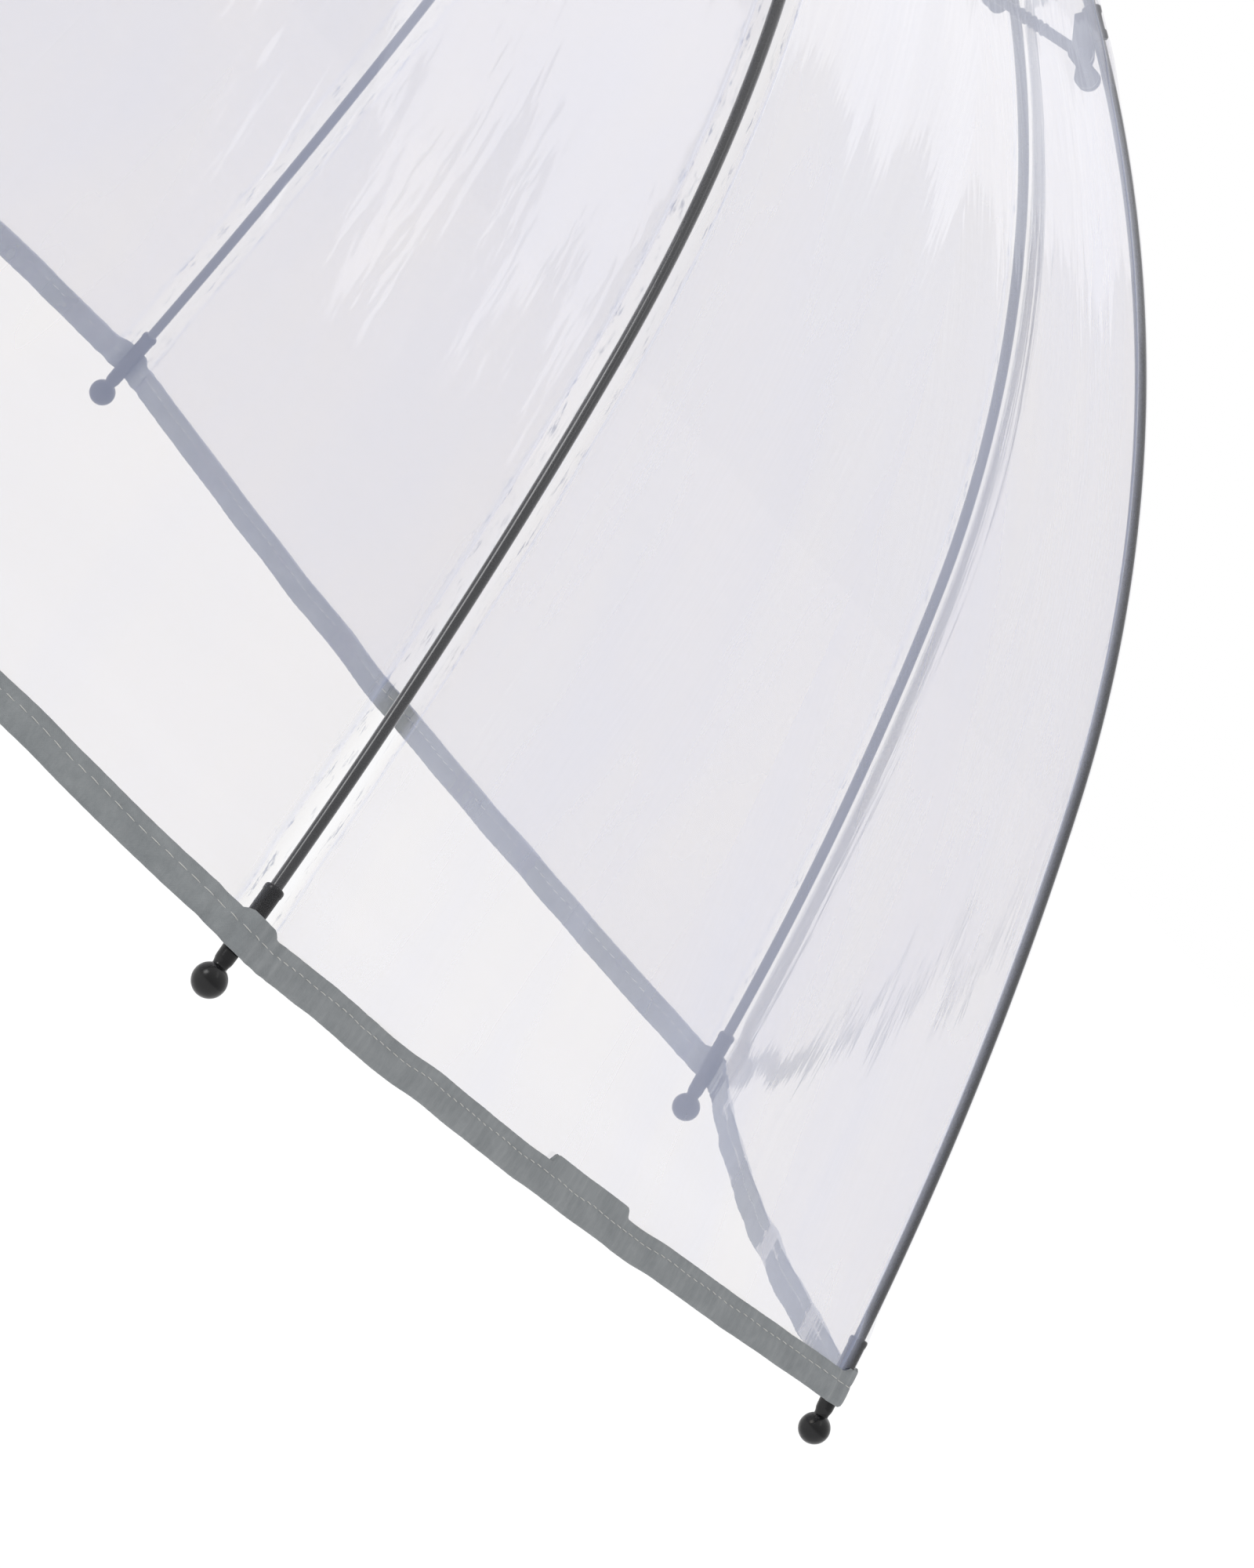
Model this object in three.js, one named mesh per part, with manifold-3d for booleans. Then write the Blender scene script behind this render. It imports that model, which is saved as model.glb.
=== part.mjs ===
// Clear bubble umbrella, open: eight curved ribs under a dome of clear film, on a shaft with a crook handle.
// Millimetres, +Z up along the shaft towards the ferrule. The origin is on the shaft's axis, in the
// middle of the grip. Each rib lies in its own upright plane through the axis.
import * as THREE from "three";
import { ParametricGeometry } from "three/addons/geometries/ParametricGeometry.js";
import { mergeVertices } from "three/addons/utils/BufferGeometryUtils.js";
import Module from "manifold-3d";

const wasm = await Module();
wasm.setup();

// ---- Driving dimensions ----
const GAP = 0.3; // between pieces that touch
const RIB_COUNT = 8;
const FIRST_RIB_DEG = 22.5;

// A rib is three tangent arcs. Each slope is in degrees below the horizontal, going outwards.
const CROWN_SLOPE = 12;
const CLIP_SLOPE = 28.5;
const SHOULDER_SLOPE = 59.9;
const HEM_SLOPE = 69.2;
const UPPER_LENGTH = 223; // crown hinge to elbow at the clip
const SHOULDER_LENGTH = 188; // elbow to the end of the tight bend
const SKIRT_LENGTH = 154; // from there to the middle of the hem
const ROD_R = 1.5;
const EYE_R = ROD_R + 0.8; // the flat eye on each rib's inner end
const EYE_THICK = 2 * ROD_R - 0.6;

const SHAFT_R = 5;
const SHAFT_WALL = 0.8;
const SHAFT_OVER_CROWN = 28;

const CROWN_Z = 712; // height of the crown's wire ring over the middle of the grip
const NOTCH_FLOOR_R = SHAFT_R + 3;
const RING_R = NOTCH_FLOOR_R + EYE_R + 1.2; // radius of the wire rings in the crown and the runner
const WIRE_R = 0.6;
const SLOT_WIDTH = 2 * ROD_R + 0.2; // slots for the rib and stretcher ends
const NOTCH_DISC_R = RING_R + 4; // outer radius of the crown's and the runner's notched discs
const NOTCH_HALF = EYE_R + 2.7; // half height of a notched disc

const RUNNER_DROP = 130; // the runner's ring lies this far below the crown's when open
const RUNNER_SLEEVE_R = NOTCH_FLOOR_R - 0.2;
const RUNNER_BELOW = 24;
const RUNNER_ABOVE = 8;
const CLOSED_CLIP_R = RING_R + 6.5; // radius of a clip's pivot when the umbrella is closed
const OPEN_PIVOT_GAP = 3.2; // from the runner's ring to a stretcher's free end

const PIVOT_DEPTH = ROD_R + 3.5; // a clip's pivot lies this far inside the rib's centre line
const CLIP_LENGTH = 8.8;
const CLIP_R = ROD_R + 0.9;
const EAR_GAP = 3;
const EAR_THICK = 1.4;
const LOBE_R = 3.1;
const LOBE_SPACING = 6;
const PIVOT_PIN_R = 0.8;

const STRETCHER_R = 1.2;
const STRETCHER_SOCKET_R = 1.6;
const STRETCHER_SOCKET_LENGTH = 10.5;
const STRETCHER_NECK = 10.5;
const TONGUE_THICK = 2.2;
const TONGUE_LENGTH = 14;

const BALL_R = 4;
const TIP_SLEEVE_R = ROD_R + 0.7;
const TIP_SLEEVE_TOP = 24.5; // from the ball's centre
const BALL_BELOW_HEM = 11; // from the middle of the hem tape to the ball's centre
const ROD_PAST_HEM = 4;

const FILM_OFFSET = CLIP_R + 0.3; // from a rib's centre line to the film's inner face
const FILM_THICK = 0.6;
const FILM_CROWN_RISE = 3.6; // extra offset where the film lies over the crown
const FILM_HOLE_R = SHAFT_R + 0.6;
const PANEL_PULL = 1.1; // 1 makes each panel straight between its ribs, more pulls it in
const PANEL_SAG = 3.4; // the hem hangs this much lower between two ribs
const TAPE_WIDTH = 8.3;
const TAPE_THICK = 1.2;

const WASHER_R = SHAFT_R + 7;
const WASHER_THICK = 0.6;
const CAP_R = SHAFT_R + 10;
const CAP_HEIGHT = 3.4;
const FERRULE_BASE_R = SHAFT_R + 3;
const FERRULE_END_R = 3.5;
const FERRULE_HEIGHT = 52;

const CATCH_LENGTH = 14;
const CATCH_NOSE_LENGTH = 10;
const CATCH_THICK = 2;
const CATCH_REACH = SHAFT_R + 1.5; // radius of a catch's nose when it is out

const GRIP_R = SHAFT_R + 5.5;
const GRIP_TOP = 50;
const GRIP_BOTTOM = -40; // where the crook's bend starts
const SOCKET_DEPTH = 45;
const CROOK_R = 26;
const CROOK_TURN = 185;
const COLLAR_HEIGHT = 6;

const rad = THREE.MathUtils.degToRad;
const HEM = UPPER_LENGTH + SHOULDER_LENGTH + SKIRT_LENGTH; // the middle of the hem, along the rib
const PANEL_HALF = Math.PI / RIB_COUNT;

// ---- Solids ----
function solid(geometry) {
  const bare = geometry.clone();
  bare.deleteAttribute("normal");
  bare.deleteAttribute("uv");
  const merged = mergeVertices(bare, 1e-4);
  return new wasm.Manifold(
    new wasm.Mesh({
      numProp: 3,
      vertProperties: merged.attributes.position.array,
      triVerts: new Uint32Array(merged.index.array),
    }),
  );
}

function geometryOf(made) {
  const mesh = made.getMesh();
  const geometry = new THREE.BufferGeometry();
  geometry.setAttribute("position", new THREE.BufferAttribute(mesh.vertProperties, 3));
  geometry.setIndex(new THREE.BufferAttribute(mesh.triVerts, 1));
  geometry.computeVertexNormals();
  return geometry;
}

const joined = (pieces) => pieces.map(solid).reduce((whole, piece) => whole.add(piece));
const cut = (body, cutters) => cutters.map(solid).reduce((left, cutter) => left.subtract(cutter), body);

// A profile of [radius, height] points turned about +Z.
function turned(points, segments) {
  const profile = points.map(([r, z]) => new THREE.Vector2(r, z));
  return new THREE.LatheGeometry(profile, segments).rotateX(Math.PI / 2);
}

// A ring with a rectangular section, turned about +Z.
function band(innerR, outerR, low, high, segments) {
  return turned([[innerR, low], [outerR, low], [outerR, high], [innerR, high], [innerR, low]], segments);
}

function box(xs, ys, zs) {
  const [x, y, z] = [xs, ys, zs].map(([low, high]) => (low + high) / 2);
  return new THREE.BoxGeometry(xs[1] - xs[0], ys[1] - ys[0], zs[1] - zs[0]).translate(x, y, z);
}

// A cylinder along +X, from one end to the other.
function barX(radius, from, to, segments) {
  const bar = new THREE.CylinderGeometry(radius, radius, to - from, segments).rotateZ(Math.PI / 2);
  return bar.translate((from + to) / 2, 0, 0);
}

// A flat disc whose axis is Y, centred on (x, y, z).
function discY(radius, thickness, [x, y, z], segments) {
  return new THREE.CylinderGeometry(radius, radius, thickness, segments).translate(x, y, z);
}

// An outline of [x, z] points given a thickness in Y, centred on the plane y = 0.
function plateY(outline, thickness) {
  const shape = new THREE.Shape(outline.map(([x, z]) => new THREE.Vector2(x, z)));
  const plate = new THREE.ExtrudeGeometry(shape, { depth: thickness, bevelEnabled: false });
  return plate.translate(0, 0, -thickness / 2).rotateX(Math.PI / 2);
}

function roundSection(radius, sides) {
  const corner = (i) => (2 * Math.PI * i) / sides;
  const point = (_, i) => new THREE.Vector2(radius * Math.cos(corner(i)), radius * Math.sin(corner(i)));
  return new THREE.Shape(Array.from({ length: sides }, point));
}

function rodAlong(curve, radius, sides, steps) {
  const options = { steps, extrudePath: curve, bevelEnabled: false };
  return new THREE.ExtrudeGeometry(roundSection(radius, sides), options);
}

// ---- The rib's centre line ----
const RIB_ARCS = [
  { length: UPPER_LENGTH, from: rad(CROWN_SLOPE), to: rad(CLIP_SLOPE) },
  { length: SHOULDER_LENGTH, from: rad(CLIP_SLOPE), to: rad(SHOULDER_SLOPE) },
  { length: SKIRT_LENGTH, from: rad(SHOULDER_SLOPE), to: rad(HEM_SLOPE) },
];

// The point at a length s along the rib: its radius, its height over the grip and its slope.
// Past either end the rib goes on straight.
function ribPoint(s) {
  const first = RIB_ARCS[0].from;
  let [r, z, slope] = [RING_R, CROWN_Z, first];
  if (s < 0) return { r: r + s * Math.cos(first), z: z - s * Math.sin(first), slope };
  let left = s;
  for (const arc of RIB_ARCS) {
    const step = Math.min(left, arc.length);
    const bend = (arc.to - arc.from) / arc.length;
    slope = arc.from + bend * step;
    r += (Math.sin(slope) - Math.sin(arc.from)) / bend;
    z += (Math.cos(slope) - Math.cos(arc.from)) / bend;
    left -= step;
    if (left <= 0) break;
  }
  return { r: r + left * Math.cos(slope), z: z - left * Math.sin(slope), slope };
}

class RibCurve extends THREE.Curve {
  constructor(from, to) {
    super();
    this.from = from;
    this.to = to;
  }
  getPoint(t, target = new THREE.Vector3()) {
    const { r, z } = ribPoint(this.from + t * (this.to - this.from));
    return target.set(r, 0, z);
  }
}

const elbow = ribPoint(UPPER_LENGTH);
const clipPivot = {
  r: elbow.r - PIVOT_DEPTH * Math.sin(elbow.slope),
  z: elbow.z - PIVOT_DEPTH * Math.cos(elbow.slope),
};
const runnerZ = CROWN_Z - RUNNER_DROP;
const clipArm = Math.hypot(clipPivot.r - RING_R, clipPivot.z - CROWN_Z);
const stretcherArm = Math.hypot(clipPivot.r - RING_R, clipPivot.z - runnerZ);
// Closed, both arms stand nearly upright, the clip this far out from the rings.
const closedInset = CLOSED_CLIP_R - RING_R;
const uprightLength = (arm) => Math.sqrt(arm ** 2 - closedInset ** 2);
const closedRunnerZ = CROWN_Z - uprightLength(clipArm) - uprightLength(stretcherArm);

// ---- Ribs ----
const ROD_SIDES = 8;
const SMALL_ROUND = 10;
const LARGE_ROUND = 24;

function ribUpper() {
  const eye = discY(EYE_R, EYE_THICK, [RING_R, 0, CROWN_Z], SMALL_ROUND);
  const rodStart = EYE_R - 0.5;
  const rod = rodAlong(new RibCurve(rodStart, UPPER_LENGTH - ROD_R - 0.4), ROD_R, ROD_SIDES, 7);
  const hole = discY(WIRE_R + 0.4, 2 * EYE_THICK, [RING_R, 0, CROWN_Z], SMALL_ROUND);
  return cut(joined([eye, rod]), [hole]);
}

function ribLower() {
  const ball = new THREE.SphereGeometry(ROD_R, 6, 4).translate(elbow.r, 0, elbow.z);
  const rod = rodAlong(new RibCurve(UPPER_LENGTH, HEM + ROD_PAST_HEM), ROD_R, ROD_SIDES, 11);
  return joined([ball, rod]);
}

// Along +X from the elbow: the sleeve holds the end of the upper rod, and two ears with two
// lobes each hang on the inner side. The stretcher's eye turns on the pin between them.
function clip() {
  const rodSpace = ROD_R + GAP;
  const sleeveEnd = -ROD_R - 2 * GAP;
  const sleeve = barX(CLIP_R, sleeveEnd - CLIP_LENGTH, sleeveEnd, SMALL_ROUND);
  const earY = (EAR_GAP + EAR_THICK) / 2;
  const ears = [-earY, earY].flatMap((y) => {
    const side = [y - EAR_THICK / 2, y + EAR_THICK / 2];
    return [
      discY(LOBE_R, EAR_THICK, [0, y, -PIVOT_DEPTH], SMALL_ROUND),
      discY(LOBE_R, EAR_THICK, [LOBE_SPACING, y, -PIVOT_DEPTH], SMALL_ROUND),
      box([0, LOBE_SPACING], side, [-PIVOT_DEPTH - LOBE_R / 2, -PIVOT_DEPTH + LOBE_R / 2]),
      box([sleeveEnd - CLIP_LENGTH + 1, 0], side, [-PIVOT_DEPTH - 0.6, -PIVOT_DEPTH + LOBE_R]),
      box([sleeveEnd - CLIP_LENGTH + 1, sleeveEnd], side, [-PIVOT_DEPTH + 1, 0.5]),
    ];
  });
  const pin = discY(PIVOT_PIN_R, EAR_GAP + 1, [0, 0, -PIVOT_DEPTH], ROD_SIDES);
  const bore = barX(rodSpace, -2 * CLIP_LENGTH, 2 * CLIP_LENGTH, SMALL_ROUND);
  return cut(joined([sleeve, ...ears, pin]), [bore]);
}

// Along +X from the clip's pivot to the runner.
function stretcher() {
  const socketEnd = STRETCHER_NECK + STRETCHER_SOCKET_LENGTH;
  const freeEnd = stretcherArm - OPEN_PIVOT_GAP;
  const tongueHalf = STRETCHER_R + 0.1;
  const flat = [-TONGUE_THICK / 2, TONGUE_THICK / 2];
  const body = joined([
    discY(LOBE_R - 0.1, TONGUE_THICK, [0, 0, 0], SMALL_ROUND),
    box([0, STRETCHER_NECK + 1], flat, [-1.5, 1.5]),
    barX(STRETCHER_SOCKET_R, STRETCHER_NECK, socketEnd, ROD_SIDES),
    barX(STRETCHER_R, socketEnd - 1, freeEnd - TONGUE_LENGTH + 2, ROD_SIDES),
    box([freeEnd - TONGUE_LENGTH, freeEnd - tongueHalf], flat, [-tongueHalf, tongueHalf]),
    discY(tongueHalf, TONGUE_THICK, [freeEnd - tongueHalf, 0, 0], ROD_SIDES),
  ]);
  return cut(body, [discY(PIVOT_PIN_R + 0.35, EAR_GAP, [0, 0, 0], ROD_SIDES)]);
}

// The tip's axis is +Z, from the ball's centre towards the rib.
function tip() {
  const neckAngle = Math.asin(TIP_SLEEVE_R / BALL_R);
  const arcSteps = 6;
  const ball = Array.from({ length: arcSteps + 1 }, (_, i) => {
    const angle = -Math.PI / 2 + ((Math.PI - neckAngle) * i) / arcSteps;
    return [BALL_R * Math.cos(angle), BALL_R * Math.sin(angle)];
  });
  ball[0][0] = 0;
  const boreR = ROD_R + GAP;
  const boreFloor = BALL_BELOW_HEM - ROD_PAST_HEM - GAP;
  const sleeve = [
    [TIP_SLEEVE_R, TIP_SLEEVE_TOP],
    [boreR, TIP_SLEEVE_TOP],
    [boreR, boreFloor],
    [0, boreFloor],
  ];
  return turned([...ball, ...sleeve], ROD_SIDES);
}

// ---- Canopy ----
// A point of the film's surface: s along the rib, an offset outwards from the rib's centre line,
// and an azimuth. Between two ribs the film is pulled in towards the straight line from rib to rib.
function filmPoint(s, offset, azimuth, target) {
  const { r, z, slope } = ribPoint(s);
  const rise = FILM_CROWN_RISE * (1 - THREE.MathUtils.smoothstep(s, 5, 60));
  const out = r + (offset + rise) * Math.sin(slope);
  const up = z + (offset + rise) * Math.cos(slope);
  const turn = azimuth - rad(FIRST_RIB_DEG);
  const fromMiddle = turn - (Math.floor(turn / (2 * PANEL_HALF)) + 0.5) * 2 * PANEL_HALF;
  const pull = PANEL_PULL * THREE.MathUtils.smoothstep(s, 0, UPPER_LENGTH);
  const radius = out * Math.pow(Math.cos(PANEL_HALF) / Math.cos(fromMiddle), pull);
  const sag = PANEL_SAG * (1 - (fromMiddle / PANEL_HALF) ** 2) * (s / HEM) ** 2;
  return target.set(radius * Math.cos(azimuth), radius * Math.sin(azimuth), up - sag);
}

// A closed shell all round the umbrella. Its section lists the corners of the cut through it, from
// the inside round to the outside, each a function of the azimuth.
const PANEL_STEPS = 4;
function filmShell(section) {
  const around = RIB_COUNT * PANEL_STEPS;
  const surface = (u, v, target) => {
    const azimuth = rad(FIRST_RIB_DEG) + 2 * Math.PI * ((Math.round(u * around) % around) / around) + 1e-6;
    const corner = section[Math.round(v * section.length) % section.length];
    corner(azimuth, target);
  };
  return new ParametricGeometry(surface, around, section.length);
}

const tapeTop = HEM - 0.5 - TAPE_WIDTH / 2;
const filmEdge = tapeTop - GAP;
// Stations along the rib: close over the crown and at the clip, even elsewhere.
const filmStations = [
  4,
  20,
  45,
  ...[0.36, 0.54, 0.72].map((share) => share * UPPER_LENGTH),
  UPPER_LENGTH - CLIP_LENGTH - 4,
  UPPER_LENGTH + CLIP_LENGTH,
  ...[0.25, 0.5, 0.75, 1].map((share) => UPPER_LENGTH + share * SHOULDER_LENGTH),
  UPPER_LENGTH + SHOULDER_LENGTH + SKIRT_LENGTH / 2,
  filmEdge,
];

function canopy() {
  const filmTop = CROWN_Z + WASHER_TOP + GAP;
  const flat = (height) => (azimuth, target) =>
    target.set(FILM_HOLE_R * Math.cos(azimuth), FILM_HOLE_R * Math.sin(azimuth), filmTop + height);
  const along = (s, offset) => (azimuth, target) => filmPoint(s, offset, azimuth, target);
  const inner = filmStations.map((s) => along(s, FILM_OFFSET));
  const outer = filmStations.map((s) => along(s, FILM_OFFSET + FILM_THICK)).reverse();
  return filmShell([flat(0), ...inner, ...outer, flat(FILM_THICK)]);
}

function hemTape() {
  const corner = (s, offset) => (azimuth, target) => filmPoint(s, offset, azimuth, target);
  const [inside, outside] = [FILM_OFFSET, FILM_OFFSET + TAPE_THICK];
  const low = tapeTop + TAPE_WIDTH;
  const section = [
    corner(tapeTop, inside),
    corner(low, inside),
    corner(low, outside),
    corner(tapeTop, outside),
  ];
  return filmShell(section);
}

// ---- Crown, runner and shaft ----
const CROWN_PLATE = EYE_R + 0.5; // the underside of the crown's top plate, over its ring
const CROWN_TOP = CROWN_PLATE + 1.4;
const WASHER_TOP = CROWN_TOP + GAP + WASHER_THICK;
const FILM_TOP = WASHER_TOP + GAP + FILM_THICK;
const shaftSpace = SHAFT_R + GAP;
const ringGroove = WIRE_R + GAP;

function slots(low, high) {
  return ribAngles.map((angle) =>
    box([NOTCH_FLOOR_R, 2 * NOTCH_DISC_R], [-SLOT_WIDTH / 2, SLOT_WIDTH / 2], [low, high]).rotateZ(angle),
  );
}

function grooveFor(low, high) {
  return band(RING_R - ringGroove, RING_R + ringGroove, low, high, LARGE_ROUND);
}

function crown() {
  const body = turned(
    [
      [shaftSpace, -2 * NOTCH_HALF],
      [NOTCH_FLOOR_R, -2 * NOTCH_HALF],
      [NOTCH_FLOOR_R + 0.2, -NOTCH_HALF],
      [NOTCH_DISC_R, -NOTCH_HALF],
      [NOTCH_DISC_R, CROWN_TOP],
      [shaftSpace, CROWN_TOP],
      [shaftSpace, -2 * NOTCH_HALF],
    ],
    LARGE_ROUND,
  );
  return cut(solid(body), [...slots(-2 * NOTCH_HALF, CROWN_PLATE), grooveFor(-2 * NOTCH_HALF, ringGroove)]);
}

function runner() {
  const sleeve = band(shaftSpace, RUNNER_SLEEVE_R, -RUNNER_BELOW, RUNNER_ABOVE, LARGE_ROUND);
  const disc = band(RUNNER_SLEEVE_R - 1, NOTCH_DISC_R, -NOTCH_HALF, NOTCH_HALF, LARGE_ROUND);
  const keyHalf = CATCH_THICK / 2 + 0.5;
  const keyway = box([0, CATCH_REACH + GAP], [-keyHalf, keyHalf], [-2 * RUNNER_BELOW, 2 * RUNNER_BELOW]);
  return cut(joined([sleeve, disc]), [
    ...slots(-2 * NOTCH_HALF, 2 * NOTCH_HALF),
    grooveFor(-ringGroove, 2 * NOTCH_HALF),
    keyway,
  ]);
}

const wireRing = () => new THREE.TorusGeometry(RING_R, WIRE_R, 5, LARGE_ROUND);

// The flat side of a catch's nose faces the runner. Its outline starts at that side.
const catchOutline = [
  [0.6, -CATCH_LENGTH],
  [SHAFT_R - SHAFT_WALL - 0.6, -CATCH_LENGTH],
  [SHAFT_R - SHAFT_WALL - 0.6, -CATCH_NOSE_LENGTH],
  [CATCH_REACH, -2],
  [CATCH_REACH, 0],
  [0.6, 0],
];
const catchPiece = () => plateY(catchOutline, CATCH_THICK);
const topCatchZ = runnerZ - RUNNER_BELOW - 2 * GAP;
const bottomCatchZ = closedRunnerZ + RUNNER_ABOVE + 2 * GAP;

function shaft() {
  const low = GRIP_TOP - SOCKET_DEPTH + GAP;
  const tube = band(SHAFT_R - SHAFT_WALL, SHAFT_R, low, CROWN_Z + SHAFT_OVER_CROWN, SMALL_ROUND * 2);
  const slotHalf = CATCH_THICK / 2 + GAP;
  const slot = (from, to) => box([SHAFT_R - 2, SHAFT_R + 1], [-slotHalf, slotHalf], [from - GAP, to + GAP]);
  return cut(solid(tube), [
    slot(topCatchZ - CATCH_NOSE_LENGTH, topCatchZ),
    slot(bottomCatchZ, bottomCatchZ + CATCH_NOSE_LENGTH),
  ]);
}

const filmWasher = () => band(shaftSpace, WASHER_R, CROWN_TOP + GAP, WASHER_TOP, LARGE_ROUND);

function topCap() {
  const low = FILM_TOP + GAP;
  const rim = CAP_HEIGHT / 3;
  const profile = [
    [shaftSpace, low],
    [CAP_R, low],
    [CAP_R, low + rim],
    [FERRULE_BASE_R, low + CAP_HEIGHT],
    [shaftSpace, low + CAP_HEIGHT],
    [shaftSpace, low],
  ];
  return turned(profile, LARGE_ROUND);
}

function ferrule() {
  const low = FILM_TOP + CAP_HEIGHT + 2 * GAP;
  const socketTop = SHAFT_OVER_CROWN + GAP;
  const profile = [
    [shaftSpace, low],
    [FERRULE_BASE_R, low],
    [FERRULE_BASE_R, low + 4],
    [FERRULE_BASE_R - 1.5, low + 6],
    [FERRULE_END_R + 1, low + FERRULE_HEIGHT - 4],
    [FERRULE_END_R, low + FERRULE_HEIGHT],
    [0, low + FERRULE_HEIGHT],
  ];
  return turned([[0, socketTop], [shaftSpace, socketTop], ...profile], SMALL_ROUND * 2);
}

// ---- Handle ----
class CrookCurve extends THREE.Curve {
  getPoint(t, target = new THREE.Vector3()) {
    const straight = GRIP_TOP - GRIP_BOTTOM;
    const s = t * (straight + CROOK_R * rad(CROOK_TURN));
    if (s < straight) return target.set(0, 0, GRIP_TOP - s);
    const turn = (s - straight) / CROOK_R;
    return target.set(CROOK_R * (1 - Math.cos(turn)), 0, GRIP_BOTTOM - CROOK_R * Math.sin(turn));
  }
}

function handle() {
  const crook = rodAlong(new CrookCurve(), GRIP_R, LARGE_ROUND / 2, 22);
  const floor = GRIP_TOP - SOCKET_DEPTH;
  const socket = new THREE.CylinderGeometry(shaftSpace, shaftSpace, 2 * SOCKET_DEPTH, SMALL_ROUND * 2);
  return cut(solid(crook), [socket.rotateX(Math.PI / 2).translate(0, 0, floor + SOCKET_DEPTH)]);
}

function handleCollar() {
  const low = GRIP_TOP + GAP;
  return band(shaftSpace, GRIP_R + 0.5, low, low + COLLAR_HEIGHT, LARGE_ROUND);
}

// ---- Assembly ----
const ribAngles = Array.from({ length: RIB_COUNT }, (_, k) => rad(FIRST_RIB_DEG) + 2 * PANEL_HALF * k);
const umbrella = new THREE.Group();

function material(color, roughness, metalness) {
  return new THREE.MeshStandardMaterial({ color, roughness, metalness });
}

function add(parent, name, made, look) {
  const geometry = made.isBufferGeometry ? made : geometryOf(made);
  const mesh = new THREE.Mesh(geometry, material(...look));
  mesh.name = name;
  parent.add(mesh);
  return mesh;
}

const BLACK_PLASTIC = [0x101012, 0.3, 0];
const BLACK_ROD = [0x17181b, 0.25, 0];
const STEEL = [0xb9bcc2, 0.3, 1];
const GREY_TAPE = [0x85898d, 0.85, 0];
const CLEAR_FILM = [0xeeeef4, 0.08, 0];
const GREY_PLASTIC = [0x55585f, 0.4, 0];

const raised = (made, z) => geometryOf(made).translate(0, 0, z);

add(umbrella, "shaft", shaft(), STEEL);
add(umbrella, "crown", raised(crown(), CROWN_Z), BLACK_PLASTIC);
add(umbrella, "crown_ring", wireRing().translate(0, 0, CROWN_Z), STEEL);
add(umbrella, "film_washer", filmWasher().translate(0, 0, CROWN_Z), GREY_PLASTIC);
add(umbrella, "canopy", canopy(), CLEAR_FILM);
add(umbrella, "hem_tape", hemTape(), GREY_TAPE);
add(umbrella, "top_cap", topCap().translate(0, 0, CROWN_Z), BLACK_PLASTIC);
add(umbrella, "ferrule", ferrule().translate(0, 0, CROWN_Z), BLACK_PLASTIC);
add(umbrella, "runner", raised(runner(), runnerZ), BLACK_PLASTIC);
add(umbrella, "runner_ring", wireRing().translate(0, 0, runnerZ), STEEL);
add(umbrella, "top_catch", catchPiece(), STEEL).position.z = topCatchZ;
const bottomCatch = add(umbrella, "bottom_catch", catchPiece(), STEEL);
bottomCatch.position.z = bottomCatchZ;
bottomCatch.rotation.x = Math.PI;
add(umbrella, "handle", handle(), BLACK_PLASTIC);
add(umbrella, "handle_collar", handleCollar(), STEEL);

const toRunner = Math.atan2(clipPivot.z - runnerZ, RING_R - clipPivot.r);
const ballPoint = ribPoint(HEM + BALL_BELOW_HEM);
ribAngles.forEach((angle, k) => {
  const rib = new THREE.Group();
  rib.rotation.z = angle;
  umbrella.add(rib);
  const number = k + 1;
  add(rib, "rib_upper_" + number, ribUpper(), BLACK_ROD);
  add(rib, "rib_lower_" + number, ribLower(), BLACK_ROD);
  const ribClip = add(rib, "clip_" + number, clip(), GREY_PLASTIC);
  ribClip.position.set(elbow.r, 0, elbow.z);
  ribClip.rotation.y = elbow.slope;
  const arm = add(rib, "stretcher_" + number, stretcher(), BLACK_ROD);
  arm.position.set(clipPivot.r, 0, clipPivot.z);
  arm.rotation.y = toRunner;
  const ribTip = add(rib, "tip_" + number, tip(), BLACK_PLASTIC);
  ribTip.position.set(ballPoint.r, 0, ballPoint.z);
  ribTip.rotation.y = ballPoint.slope - Math.PI / 2;
});

export default umbrella;
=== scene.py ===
"""Clear bubble umbrella, open, its clear film stretched over eight black ribs.

Metres, in the CAD model's frame. Sizes are in millimetres, as in the CAD model, unless a comment says
otherwise, and MM converts them.
"""
from math import asin, cos, pi, radians, sin, sqrt

import bmesh
import bpy
import numpy as np
from mathutils import Matrix, Vector, noise

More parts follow.
